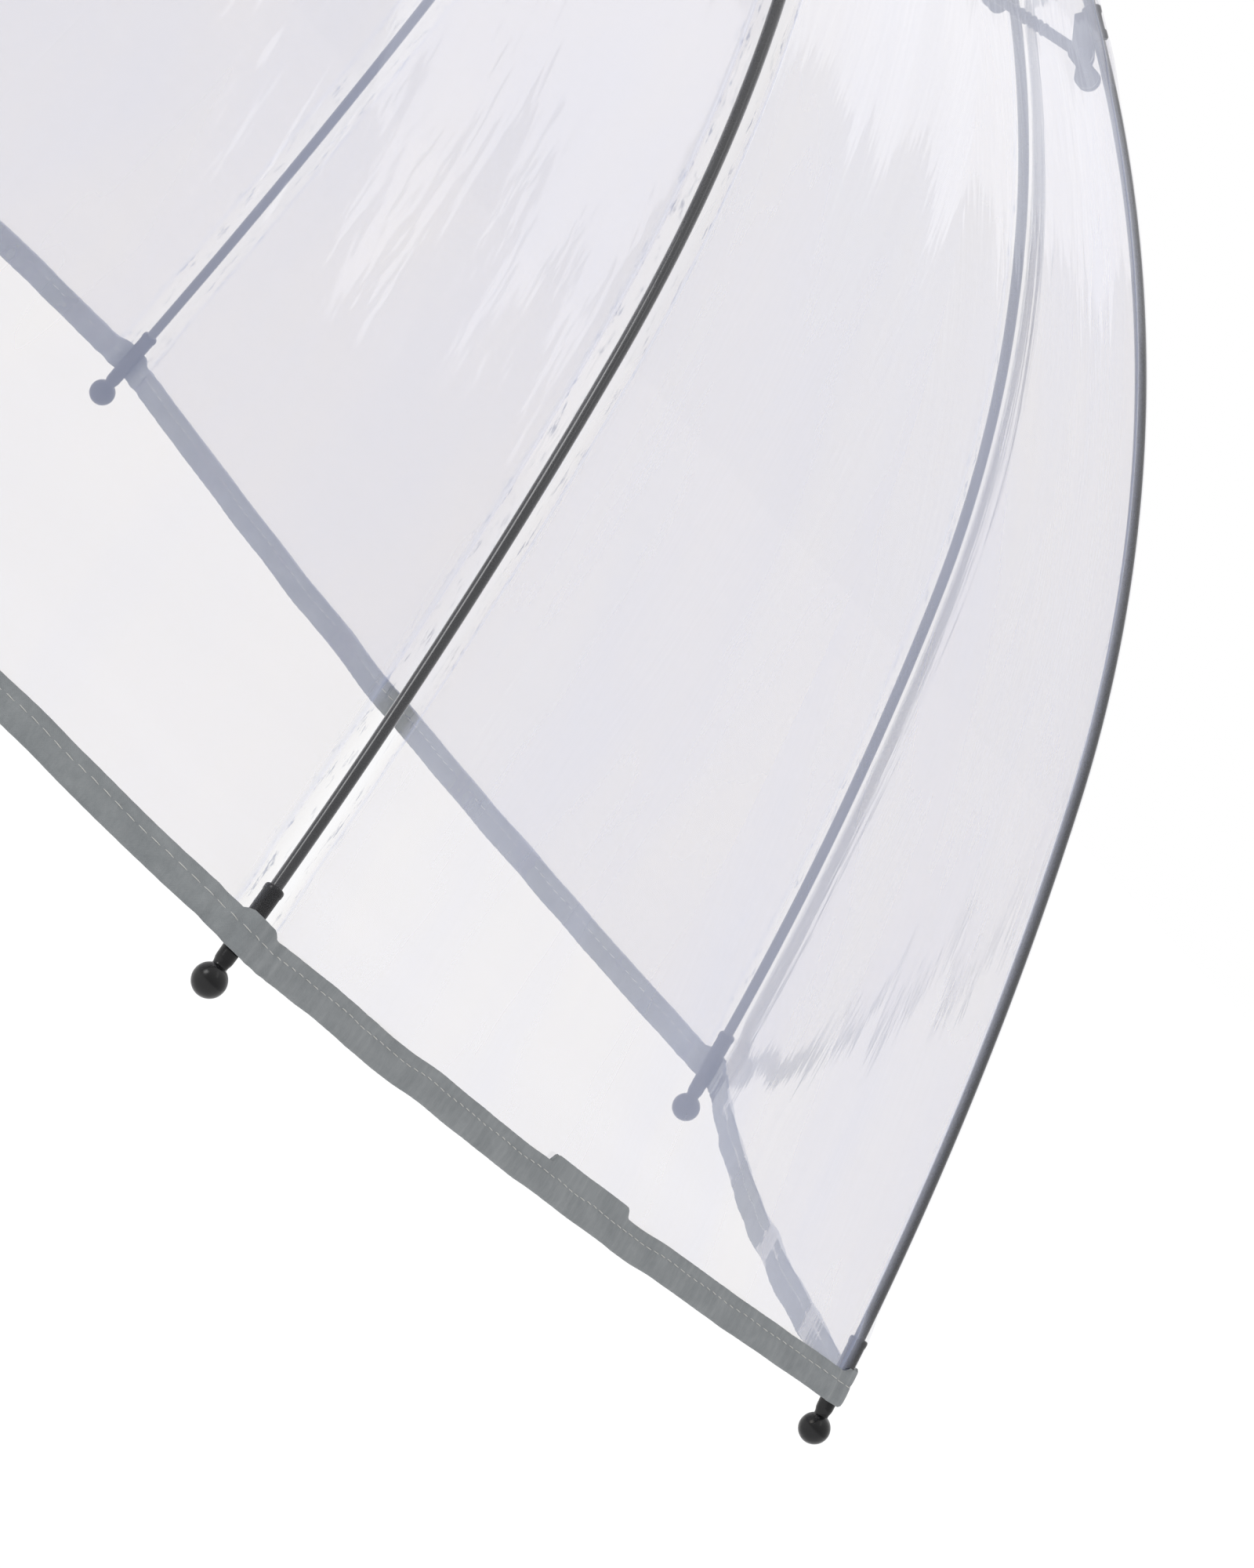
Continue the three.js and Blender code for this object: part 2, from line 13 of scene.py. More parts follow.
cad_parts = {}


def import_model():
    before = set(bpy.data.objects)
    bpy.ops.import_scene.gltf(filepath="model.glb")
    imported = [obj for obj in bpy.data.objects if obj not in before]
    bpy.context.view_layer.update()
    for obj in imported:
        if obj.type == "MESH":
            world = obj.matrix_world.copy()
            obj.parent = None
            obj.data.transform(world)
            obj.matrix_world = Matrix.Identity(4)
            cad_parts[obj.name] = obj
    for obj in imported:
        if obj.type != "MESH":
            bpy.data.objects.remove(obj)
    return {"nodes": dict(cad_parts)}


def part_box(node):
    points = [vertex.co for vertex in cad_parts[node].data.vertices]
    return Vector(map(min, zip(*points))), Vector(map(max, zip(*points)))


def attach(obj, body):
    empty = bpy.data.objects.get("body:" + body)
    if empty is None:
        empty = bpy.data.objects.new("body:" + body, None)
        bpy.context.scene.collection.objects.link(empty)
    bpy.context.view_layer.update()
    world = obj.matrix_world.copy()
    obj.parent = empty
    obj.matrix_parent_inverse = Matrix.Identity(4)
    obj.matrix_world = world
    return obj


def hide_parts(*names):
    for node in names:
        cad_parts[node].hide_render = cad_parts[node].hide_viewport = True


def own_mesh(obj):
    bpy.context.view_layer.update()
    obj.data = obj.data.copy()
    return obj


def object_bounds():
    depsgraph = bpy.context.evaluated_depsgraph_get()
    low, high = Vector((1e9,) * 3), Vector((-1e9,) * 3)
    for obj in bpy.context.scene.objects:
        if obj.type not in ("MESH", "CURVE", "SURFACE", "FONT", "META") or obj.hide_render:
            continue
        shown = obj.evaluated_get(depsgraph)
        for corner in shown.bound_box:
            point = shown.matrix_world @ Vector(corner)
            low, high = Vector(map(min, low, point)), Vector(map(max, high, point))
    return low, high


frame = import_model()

MM = 0.001
CAD_BOUNDS = [list(corner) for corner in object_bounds()]

# ---- The CAD model's driving sizes. Lengths along a rib start at its crown pivot. ----
RIB_COUNT = 8
FIRST_RIB = radians(22.5)
PANEL_HALF = pi / RIB_COUNT
SLOPES = [radians(a) for a in (12, 28.5, 59.9, 69.2)]
LENGTHS = [223, 188, 154]
HEM = sum(LENGTHS)
ELBOW = LENGTHS[0]
CROWN_Z = 712
RING_R = 11.5
WIRE_R = 0.6
ROD_R = 1.5
SLOT_WIDTH = 3.2
NOTCH_DISC_R = 15.5
NOTCH_FLOOR_R = 8
NOTCH_HALF = 5
SHAFT_R = 5
SHAFT_WALL = 0.8
SHAFT_TOP = 740
RUNNER_Z = 582
SLEEVE_R = 7.8
PIVOT_DEPTH = 5
CLIP_R = 2.4
CLIP_LENGTH = 8.8
LOBE_R = 3.1
LOBE_SPACING = 6
EAR_GAP = 3
EAR_THICK = 1.4
STRETCHER_R = 1.2
RIVET_R = 1.25
BALL_R = 4
BALL_BELOW_HEM = 11
SLEEVE_TOP = 24.5
FILM_HOLE_R = 5.6
FILM_TOP_Z = 717.7
PANEL_PULL = 1.1
PANEL_SAG = 3.4
TAPE_WIDTH = 8.3
TAPE_TOP = HEM - 0.5 - TAPE_WIDTH / 2
CAP_LOW = 718.3
GRIP_R = 10.5
GRIP_TOP = 50
GRIP_BOTTOM = -40
CROOK_R = 26
CROOK_TURN = radians(185)
# ---- What only this script needs ----
SHARP = radians(38)  # an edge that turns by more than this is shaded sharp, and may be bevelled
FILM_CLEAR = 0.25  # from a rod's surface to the middle of the film over it
BORE_R = SHAFT_R + 0.3
DISC_EDGE_UP = 2.8  # how far the crown's notched disc stands above its ring


def azimuth_of(k):
    """The direction of rib k, round the shaft."""
    return FIRST_RIB + 2 * PANEL_HALF * (k - 1)


def smooth(x, low, high):
    """0 below low, 1 above high, and a smooth step between."""
    t = np.clip((np.asarray(x, float) - low) / (high - low), 0, 1)
    return t * t * (3 - 2 * t)


def rib_point(s):
    """Radius, height and slope at a length s along a rib, straight past either end."""
    s = np.asarray(s, float)
    start = 0.0
    r = np.full(s.shape, float(RING_R)) + np.minimum(s, 0) * cos(SLOPES[0])
    z = np.full(s.shape, float(CROWN_Z)) - np.minimum(s, 0) * sin(SLOPES[0])
    slope = np.full(s.shape, SLOPES[0])
    for length, a, b in zip(LENGTHS, SLOPES, SLOPES[1:]):
        bend = (b - a) / length
        here = a + bend * np.clip(s - start, 0, length)
        r = r + (np.sin(here) - sin(a)) / bend
        z = z + (np.cos(here) - cos(a)) / bend
        slope = np.where(s > start, here, slope)
        start += length
    past = np.maximum(s - HEM, 0)
    return r + past * cos(SLOPES[-1]), z - past * sin(SLOPES[-1]), slope


# ---- Materials ----
class Nodes:
    """A material's node tree, built by name."""

    def __init__(self, name):
        self.material = bpy.data.materials.new("fine_" + name)
        self.material.use_nodes = True
        self.tree = self.material.node_tree
        self.tree.nodes.clear()
        self.output = self.add("ShaderNodeOutputMaterial")

    def add(self, kind, **values):
        node = self.tree.nodes.new(kind)
        for key, value in values.items():
            if hasattr(node, key):
                setattr(node, key, value)
            else:
                node.inputs[key.replace("_", " ")].default_value = value
        return node

    def link(self, source, target):
        self.tree.links.new(source, target)

    def maths(self, operation, a, b=None, clamp=False):
        node = self.add("ShaderNodeMath", operation=operation, use_clamp=clamp)
        for socket, value in zip(node.inputs, (a, b)):
            if value is None:
                continue
            if isinstance(value, (int, float)):
                socket.default_value = value
            else:
                self.link(value, socket)
        return node.outputs[0]

    def noise(self, coordinates, scale, detail=3.0, rough=0.5, stretch=(1, 1, 1), distortion=0.0):
        mapping = self.add("ShaderNodeMapping")
        mapping.inputs["Scale"].default_value = stretch
        self.link(coordinates, mapping.inputs["Vector"])
        texture = self.add("ShaderNodeTexNoise", Scale=scale, Detail=detail, Roughness=rough,
                           Distortion=distortion)
        self.link(mapping.outputs[0], texture.inputs["Vector"])
        return texture.outputs["Fac"]

    def ramp(self, value, low, high, out_low, out_high):
        node = self.add("ShaderNodeMapRange", From_Min=low, From_Max=high, To_Min=out_low, To_Max=out_high)
        self.link(value, node.inputs[0])
        return node.outputs[0]

    def mix_colour(self, factor, a, b):
        node = self.add("ShaderNodeMix", data_type="RGBA")
        self.link(factor, node.inputs["Factor"])
        node.inputs[6].default_value = (*a, 1)
        node.inputs[7].default_value = (*b, 1)
        return node.outputs[2]

    def bump(self, height, distance, strength=1.0, normal=None):
        node = self.add("ShaderNodeBump", Strength=strength, Distance=distance)
        self.link(height, node.inputs["Height"])
        if normal is not None:
            self.link(normal, node.inputs["Normal"])
        return node.outputs[0]


def surface(name, dark, light, rough, grain, depth, metallic=0.0, coat=0.0, stretch=(1, 1, 1), shine=0.5):
    """A moulded, painted or plated surface: a fine grain in its colour, its gloss and its relief.

    rough is the lowest and highest roughness, grain the fine noise's scale, and depth its relief.
    """
    n = Nodes(name)
    place = n.add("ShaderNodeTexCoord").outputs["Object"]
    fine = n.noise(place, grain, detail=4, stretch=stretch)
    broad = n.noise(place, grain / 9, detail=2, stretch=stretch)
    shader = n.add("ShaderNodeBsdfPrincipled", Metallic=metallic, Coat_Weight=coat, Coat_Roughness=0.06)
    shader.inputs["Specular IOR Level"].default_value = shine
    n.link(n.mix_colour(n.ramp(broad, 0.3, 0.7, 0, 1), dark, light), shader.inputs["Base Color"])
    n.link(n.ramp(fine, 0.3, 0.7, rough[0], rough[1]), shader.inputs["Roughness"])
    n.link(n.bump(fine, depth * MM), shader.inputs["Normal"])
    n.link(shader.outputs[0], n.output.inputs[0])
    return n.material


def film_material():
    """Clear film: a mirror at a low angle over a see-through layer with a milky, bluish haze. The haze is
    cut where the film lies on a rib, a painted shade of the rib, and raised along the pressed lines beside it,
    a painted highlight."""
    n = Nodes("clear_film")
    along = n.add("ShaderNodeUVMap", uv_map="sheet").outputs[0]
    streaks = n.noise(along, 1, detail=4, rough=0.55, stretch=(34, 5, 1), distortion=0.6)
    ripple = n.noise(along, 1, detail=3, rough=0.5, stretch=(150, 26, 1), distortion=0.3)
    relief = n.bump(streaks, 1.5 * MM, 0.5)
    relief = n.bump(ripple, 0.22 * MM, 0.5, relief)
    touch = n.add("ShaderNodeAttribute", attribute_name="touch").outputs["Fac"]
    weld = n.add("ShaderNodeAttribute", attribute_name="weld").outputs["Fac"]
    clear = n.add("ShaderNodeBsdfTransparent")
    flecks = n.ramp(n.noise(along, 1, detail=4, rough=0.7, stretch=(900, 130, 1)), 0.56, 0.66, 0, 1)
    edge = n.maths("MULTIPLY", n.maths("MULTIPLY", touch, n.maths("SUBTRACT", 1.0, touch)), 3.4, clamp=True)
    plain = n.mix_colour(touch, (0.98, 0.93, 0.83), (0.93, 0.93, 0.94))
    flecked = n.add("ShaderNodeMix", data_type="RGBA")
    n.link(n.maths("MULTIPLY", flecks, edge), flecked.inputs["Factor"])
    n.link(plain, flecked.inputs[6])
    flecked.inputs[7].default_value = (0.42, 0.44, 0.5, 1)
    n.link(flecked.outputs[2], clear.inputs[0])
    milky = n.add("ShaderNodeBsdfTranslucent")
    milky.inputs[0].default_value = (0.62, 0.69, 0.95, 1)
    cloud = n.ramp(n.noise(along, 1, detail=3, stretch=(26, 7, 1), distortion=0.4), 0.3, 0.7, 0.29, 0.39)
    # painted shade: the haze is taken away where the film lies on a rib, as if the rib shaded it
    haze = n.maths("MULTIPLY", cloud, n.maths("SUBTRACT", 1.0, touch))
    # painted highlight: extra white haze along the pressed line beside each rib
    haze = n.maths("ADD", haze, n.maths("MULTIPLY", weld, 0.16), clamp=True)
    body = n.add("ShaderNodeMixShader")
    n.link(haze, body.inputs[0])
    n.link(clear.outputs[0], body.inputs[1])
    n.link(milky.outputs[0], body.inputs[2])
    gloss = n.add("ShaderNodeBsdfPrincipled", Metallic=1.0)
    gloss.inputs["Base Color"].default_value = (0.97, 0.97, 1.0, 1)
    n.link(n.ramp(ripple, 0.3, 0.7, 0.03, 0.11), gloss.inputs["Roughness"])
    n.link(relief, gloss.inputs["Normal"])
    facing = n.add("ShaderNodeLayerWeight", Blend=0.5)
    n.link(relief, facing.inputs["Normal"])
    low_angle = n.maths("POWER", facing.outputs["Facing"], 3.5)
    bare = n.ramp(low_angle, 0.0, 1.0, 0.07, 0.85)
    mirror = n.maths("MULTIPLY", bare, n.ramp(touch, 0.0, 1.0, 1.0, 0.3), clamp=True)
    whole = n.add("ShaderNodeMixShader")
    n.link(mirror, whole.inputs[0])
    n.link(body.outputs[0], whole.inputs[1])
    n.link(gloss.outputs[0], whole.inputs[2])
    n.link(whole.outputs[0], n.output.inputs[0])
    return n.material


THREAD_PITCH = 0.42


def tape_material():
    """Matt grey binding: a fine plain weave with slubs, in a slightly patchy grey."""
    n = Nodes("grey_tape")
    along = n.add("ShaderNodeUVMap", uv_map="sheet").outputs[0]
    split = n.add("ShaderNodeSeparateXYZ")
    n.link(along, split.inputs[0])
    thread_turns = 2 * pi / (THREAD_PITCH * MM)
    warp = n.maths("SINE", n.maths("MULTIPLY", split.outputs[0], thread_turns))
    weft = n.maths("SINE", n.maths("MULTIPLY", split.outputs[1], thread_turns))
    weave = n.maths("MULTIPLY", warp, weft)
    patches = n.noise(along, 1, detail=4, stretch=(90, 160, 1))
    slub = n.noise(along, 1, detail=3, stretch=(1400, 500, 1))
    tone = n.maths("ADD", n.ramp(patches, 0.3, 0.7, 0, 0.7), n.ramp(slub, 0.2, 0.8, 0, 0.5), clamp=True)
    shader = n.add("ShaderNodeBsdfPrincipled", Roughness=0.86)
    shader.inputs["Sheen Weight"].default_value = 0.15
    shader.inputs["Sheen Roughness"].default_value = 0.5
    n.link(n.mix_colour(tone, (0.185, 0.2, 0.21), (0.265, 0.28, 0.29)), shader.inputs["Base Color"])
    relief = n.bump(weave, 0.05 * MM, 0.6)
    relief = n.bump(patches, 0.5 * MM, 0.4, relief)
    n.link(relief, shader.inputs["Normal"])
    n.link(shader.outputs[0], n.output.inputs[0])
    return n.material


def thread_material():
    """Pale sewing thread, with the twist of its plies."""
    n = Nodes("stitch_thread")
    place = n.add("ShaderNodeTexCoord").outputs["Object"]
    twist = n.add("ShaderNodeTexWave", Scale=1900.0, Distortion=0.5)
    n.link(place, twist.inputs["Vector"])
    shader = n.add("ShaderNodeBsdfPrincipled", Roughness=0.7)
    colour = n.mix_colour(twist.outputs["Fac"], (0.5, 0.5, 0.48), (0.68, 0.68, 0.65))
    n.link(colour, shader.inputs["Base Color"])
    n.link(n.bump(twist.outputs["Fac"], 0.05 * MM), shader.inputs["Normal"])
    n.link(shader.outputs[0], n.output.inputs[0])
    return n.material


FILM = film_material()
TAPE = tape_material()
THREAD = thread_material()
ROD = surface("rib_rod", (0.005, 0.0055, 0.007), (0.01, 0.011, 0.013), (0.18, 0.32), 900, 0.02, coat=1.0)
PAINTED = surface("stretcher_rod", (0.012, 0.012, 0.018), (0.022, 0.022, 0.032), (0.22, 0.4), 1200, 0.02)
TIP = surface("tip_plastic", (0.002, 0.002, 0.0025), (0.004, 0.004, 0.005), (0.18, 0.28), 700, 0.012,
              shine=0.4)
CLIP = surface("clip_plastic", (0.014, 0.014, 0.018), (0.028, 0.029, 0.034), (0.28, 0.45), 900, 0.03)
BLACK = surface("black_plastic", (0.006, 0.006, 0.007), (0.011, 0.011, 0.012), (0.2, 0.36), 500, 0.02)
HANDLE = surface("handle_plastic", (0.005, 0.005, 0.006), (0.009, 0.009, 0.01), (0.12, 0.24), 300, 0.03,
                 coat=0.5)
PLATED = surface("steel_shaft", (0.56, 0.57, 0.59), (0.66, 0.67, 0.69), (0.12, 0.24), 700, 0.004, 1.0,
                 stretch=(1, 1, 0.06))
WIRE = surface("wire", (0.5, 0.51, 0.53), (0.62, 0.63, 0.65), (0.22, 0.38), 1500, 0.01, 1.0)


# ---- Meshes ----
def make(name, vertices, faces, material):
    """A smooth-shaded mesh object from points in millimetres."""
    mesh = bpy.data.meshes.new(name)
    mesh.from_pydata([tuple(MM * c for c in v) for v in vertices], [], faces)
    mesh.materials.append(material)
    mesh.polygons.foreach_set("use_smooth", [True] * len(mesh.polygons))
    mesh.update()
    piece = bpy.data.objects.new(name, mesh)
    bpy.context.scene.collection.objects.link(piece)
    return piece


class Build:
    """Collects closed shells, in millimetres, into one mesh."""

    def __init__(self):
        self.vertices = []
        self.faces = []

    def loft(self, rings, ends_closed=False):
        """Faces through rings of points. A ring of one point is a pole; other open ends are capped."""
        starts = []
        for ring in rings:
            starts.append(len(self.vertices))
            self.vertices.extend(tuple(p) for p in ring)
        count = len(rings)
        for i in range(count if ends_closed else count - 1):
            j = (i + 1) % count
            a, b, na, nb = starts[i], starts[j], len(rings[i]), len(rings[j])
            steps = max(na, nb)
            for m in range(steps):
                q = (m + 1) % steps
                if na == 1:
                    self.faces.append((a, b + q, b + m))
                elif nb == 1:
                    self.faces.append((a + m, a + q, b))
                else:
                    self.faces.append((a + m, a + q, b + q, b + m))
        if not ends_closed:
            if len(rings[0]) > 1:
                self.faces.append(tuple(reversed(range(starts[0], starts[0] + len(rings[0])))))
            if len(rings[-1]) > 1:
                self.faces.append(tuple(range(starts[-1], starts[-1] + len(rings[-1]))))
        return self

    def turned(self, profile, segments=48, place=Matrix.Identity(4), closed=False):
        """A profile of (radius, height) points turned about +Z and then placed."""
        rings = []
        for r, z in profile:
            turn = [2 * pi * i / segments for i in range(segments)] if r > 1e-9 else [0]
            rings.append([place @ Vector((r * cos(t), r * sin(t), z)) for t in turn])
        return self.loft(rings, ends_closed=closed)

    def swept(self, centres, sides_of, radii, turns):
        """A round or flattened rod along centres. sides_of gives two directions across it at each."""
        rings = []
        for centre, (u, v), (ru, rv) in zip(centres, sides_of, radii):
            if ru < 1e-9:
                rings.append([centre])
                continue
            angles = [2 * pi * i / turns for i in range(turns)]
            rings.append([centre + u * (ru * cos(a)) + v * (rv * sin(a)) for a in angles])
        return self.loft(rings)

    def plate(self, outline, thickness, place):
        """An outline of (x, y) points given a thickness in z, centred, and then placed."""
        half = thickness / 2
        edge = min(0.25, half / 2)
        middle = Vector((sum(p[0] for p in outline), sum(p[1] for p in outline))) / len(outline)
        rings = []
        for height, inset in ((-half, edge), (-half + edge, 0), (half - edge, 0), (half, edge)):
            ring = []
            for x, y in outline:
                toward = middle - Vector((x, y))
                shift = toward.normalized() * min(inset, toward.length)
                ring.append(place @ Vector((x + shift.x, y + shift.y, height)))
            rings.append(ring)
        return self.loft(rings)

    def object(self, name, material, bevel=0.0, slot=None):
        """The mesh as an object, its faces turned outwards and its sharp edges found."""
        piece = make(name, self.vertices, self.faces, material)
        outward = bmesh.new()
        outward.from_mesh(piece.data)
        bmesh.ops.recalc_face_normals(outward, faces=outward.faces)
        outward.to_mesh(piece.data)
        outward.free()
        if bevel:
            add_bevel(piece, bevel)
        piece.data.set_sharp_from_angle(angle=SHARP)
        return piece


def add_bevel(piece, width):
    """Rounds the sharp edges by a width in millimetres."""
    bevel = piece.modifiers.new("edges", "BEVEL")
    bevel.width = width * MM
    bevel.segments = 2
    bevel.limit_method = "ANGLE"
    bevel.angle_limit = SHARP
    bevel.harden_normals = False


def upright(x, y, z):
    """Places a turned shape so that its +Z points along Y, centred on (x, y, z)."""
    return Matrix.Translation((x, y, z)) @ Matrix.Rotation(-pi / 2, 4, "X")


# ---- The film, one sheet cut into gores that ride on the ribs ----
def noise_at(points, scale, seed):
    """Blender's smooth noise at each point of an array, from its own corner of space for each seed."""
    shift = Vector((seed * 17.3, seed * 5.1, seed * 9.7))
    flat = points.reshape(-1, 3)
    return np.array([noise.noise(Vector(p) * scale + shift) for p in flat]).reshape(points.shape[:-1])


def film_offset(s):
    """How far the film's middle stands off the rib's centre line: on the rod, over the clip and the tip."""
    near_crown = 3.6 * (1 - smooth(s, 5, 60)) + 1.0 * (1 - smooth(s, 15, 90))
    clip_top = ELBOW - CLIP_LENGTH
    over_clip = smooth(s, clip_top - 14, clip_top - 3) * (1 - smooth(s, ELBOW + 1, ELBOW + 16))
    sleeve_end = HEM - SLEEVE_TOP + BALL_BELOW_HEM
    over_tip = smooth(s, sleeve_end - 7, sleeve_end - 0.5)
    return ROD_R + FILM_CLEAR + near_crown + 0.85 * over_clip + 0.75 * over_tip


CENTRE_START = -10.0  # where the film's hole is, as a length before the rib's pivot
CENTRE_FLAT_END = 4.0  # where it leaves the crown's flat top and starts to follow the ribs


def film_surface(s, azimuth):
    """The film at lengths s along the ribs and azimuths, in arrays of one shape.

    Gives the points, the way out of the dome, and the distance along the surface from the nearest rib.
    """
    on_rib = np.maximum(s, CENTRE_FLAT_END)
    r, z, slope = rib_point(on_rib)
    out_of_rib = film_offset(on_rib)
    out = r + out_of_rib * np.sin(slope)
    up = z + out_of_rib * np.cos(slope)
    turn = (azimuth - FIRST_RIB) % (2 * PANEL_HALF)
    from_rib = np.minimum(turn, 2 * PANEL_HALF - turn)
    bend = 1.1 + 0.6 * smooth(s, HEM - 20, HEM)
    across = from_rib * out
    from_middle = PANEL_HALF - (np.sqrt(across**2 + bend**2) - bend) / out
    pull = PANEL_PULL * smooth(s, 0, ELBOW)
    radius = out * (cos(PANEL_HALF) / np.cos(from_middle)) ** pull
    sag = PANEL_SAG * (1 - (from_middle / PANEL_HALF) ** 2) * (np.maximum(s, 0) / HEM) ** 2
    way = np.stack([np.sin(slope) * np.cos(azimuth), np.sin(slope) * np.sin(azimuth), np.cos(slope)], -1)
    points = np.stack([radius * np.cos(azimuth), radius * np.sin(azimuth), up - sag], -1)
    flat_r = FILM_HOLE_R + (s - CENTRE_START) * 0.7
    flat = np.stack([flat_r * np.cos(azimuth), flat_r * np.sin(azimuth), np.full(s.shape, FILM_TOP_Z)], -1)
    points = np.where((s < CENTRE_FLAT_END)[..., None], flat, points)
    return points, way, across


WELD_ACROSS = 6.6  # the pressed line's distance from the rib


def film_relief(s, azimuth, across):
    """Wrinkles, in millimetres outwards: long flutes between the ribs, folds that fan out from each
    tip, and a thin pressed line on both sides of every rib."""
    flute_r = 330.0
    where = np.stack([flute_r * np.cos(azimuth), flute_r * np.sin(azimuth), s * 0.14], -1)
    flutes = 0.75 * noise_at(where, 1 / 34, 1) + 0.35 * noise_at(where, 1 / 13, 2)
    broad = 1.2 * noise_at(where, 1 / 90, 3)
    free = smooth(across, 5, 26) * smooth(s, 30, 120) * (1 - 0.6 * smooth(s, HEM - 25, HEM - 4))
    above = np.maximum(HEM + 4 - s, 0)
    distance = np.hypot(across, above)
    fan = np.sin(11 * np.arctan2(across, above) + 2.3 * np.sin(azimuth * 4))
    fan = 0.2 * fan * np.exp(-distance / 42) * smooth(distance, 3, 16) * smooth(across, 1.5, 7)
    weld = np.exp(-(((across - WELD_ACROSS) / 0.45) ** 2))
    return (flutes + broad) * free + fan + 0.16 * weld * smooth(s, 18, 45)


NEAR_RIB_MM = [0, 0.4, 0.8, 1.3, 2.0, 3.0, 4.4, 5.7, 6.2, WELD_ACROSS, 7.0, 7.5, 9.0]
ACROSS_STEPS = 14


def gore_columns(r):
    """Azimuth offsets from the rib at a radius r: close together near the rib, even beyond it."""
    near = np.array(NEAR_RIB_MM) / r
    near = near * min(1, 0.55 * PANEL_HALF / near[-1])
    beyond = near[-1] + (PANEL_HALF - near[-1]) * np.arange(1, ACROSS_STEPS + 1) / ACROSS_STEPS
    half = np.concatenate([near, beyond])
    pad = half[-1] + (half[-1] - half[-2])
    half = np.append(half, pad)
    return np.concatenate([-half[:0:-1], half])


CENTRE_END = 10.0
FILM_ROWS = np.concatenate([
    np.linspace(CENTRE_START, CENTRE_END, 9)[:-1],
    np.linspace(CENTRE_END, ELBOW, 55)[:-1],
    np.linspace(ELBOW, HEM + 3, 106),
])


def gore_grid(k):
    """One gore's points, normals and masks, mid-line to mid-line. Its neighbours' first columns are made
    too, so that the normals agree across the mid-lines, and then dropped."""
    r = np.maximum(rib_point(np.maximum(FILM_ROWS, 0))[0], FILM_HOLE_R)
    azimuth = np.array([azimuth_of(k) + gore_columns(x) for x in r])
    s = np.repeat(FILM_ROWS[:, None], azimuth.shape[1], axis=1)
    points, way, across = film_surface(s, azimuth)
    points = points + way * film_relief(s, azimuth, across)[..., None]
    down = np.gradient(points, axis=0)
    sideways = np.gradient(points, axis=1)
    normals = np.cross(down, sideways)
    normals /= np.linalg.norm(normals, axis=-1, keepdims=True)
    signed = (azimuth - azimuth_of(k)) * np.maximum(points[..., 0] ** 2 + points[..., 1] ** 2, 1) ** 0.5
    touch = (1 - smooth(across, 1.5, 9.0)) * smooth(s, 20, 60)
    weld = np.exp(-(((across - WELD_ACROSS) / 0.55) ** 2)) * smooth(s, 25, 70)
    inner = slice(1, -1)
    return {"points": points[:, inner], "normals": normals[:, inner], "touch": touch[:, inner],
            "weld": weld[:, inner], "u": signed[:, inner], "s": s[:, inner]}


def grid_faces(rows, columns, start=0):
    """Four-sided faces between a grid's points, counted row by row from start."""
    corners = [start + i * columns + j for i in range(rows - 1) for j in range(columns - 1)]
    return [(c, c + columns, c + columns + 1, c + 1) for c in corners]


def set_sheet_uv(mesh, uv):
    """Gives the mesh the sheet's own coordinates in metres, one pair for each vertex."""
    layer = mesh.uv_layers.new(name="sheet")
    corner = np.empty(len(mesh.loops), dtype=np.int32)
    mesh.loops.foreach_get("vertex_index", corner)
    layer.data.foreach_set("uv", np.array(uv, np.float32)[corner].ravel())


GORE_UV_STEP = 500  # keeps each gore's pattern apart from its neighbours'


def film_piece(name, grids):
    """The film over one or more gores, a single surface with the masks that its material reads."""
    vertices, normals, faces, touch, weld, uv = [], [], [], [], [], []
    for k, g in grids:
        rows, columns = g["s"].shape
        faces += grid_faces(rows, columns, len(vertices))
        vertices += list(g["points"].reshape(-1, 3))
        normals += list(g["normals"].reshape(-1, 3))
        touch += list(g["touch"].ravel())
        weld += list(g["weld"].ravel())
        uv += [(MM * (u + GORE_UV_STEP * k), MM * v) for u, v in zip(g["u"].ravel(), g["s"].ravel())]
    piece = make(name, vertices, faces, FILM)
    mesh = piece.data
    for attribute, values in (("touch", touch), ("weld", weld)):
        mask = mesh.attributes.new(attribute, "FLOAT", "POINT")
        mask.data.foreach_set("value", np.array(values, np.float32))
    set_sheet_uv(mesh, uv)
    mesh.normals_split_custom_set_from_vertices(normals)
    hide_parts("canopy")
    return piece


def rows_of(grid, keep):
    """The rows of a gore that keep picks out, in all of its arrays."""
    return {key: value[keep] for key, value in grid.items()}


def fold(piece):
    """Gives the piece its own copy of its mesh."""
    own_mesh(piece)


gores = {k: gore_grid(k) for k in range(1, RIB_COUNT + 1)}
centre_rows = FILM_ROWS <= CENTRE_END + 1e-6
upper_rows = (FILM_ROWS >= CENTRE_END - 1e-6) & (FILM_ROWS <= ELBOW + 1e-6)
lower_rows = FILM_ROWS >= ELBOW - 1e-6

centre = film_piece("film_centre", [(k, rows_of(g, centre_rows)) for k, g in gores.items()])
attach(centre, "root")


# ---- Hem tape ----
# The tape's cut across its width: (down from its top edge, out from its middle), its fold at the bottom.
STITCH_DOWN = 2.7  # how far below the top edge the stitching runs, in a shallow furrow
TAPE_SECTION = [(0.0, 0.5), (0.25, 0.6), (1.4, 0.62), (2.2, 0.58), (STITCH_DOWN, 0.4), (3.2, 0.58),
                (5.0, 0.66), (6.8, 0.62), (7.8, 0.46), (TAPE_WIDTH, 0.0), (7.8, -0.46), (6.8, -0.62),
                (5.0, -0.66), (3.2, -0.58), (STITCH_DOWN, -0.4), (2.2, -0.58), (1.4, -0.62), (0.25, -0.6),
                (0.0, -0.5), (0.1, -0.15), (0.1, 0.15)]
TAPE_STEP_MM = 0.9
STITCH_PITCH = 3.7
HEM_R = 425
JOIN_AZIMUTH = radians(317.3)  # where the tape's two ends overlap
JOIN_LENGTH = 42
JOIN_RISE = 2.2
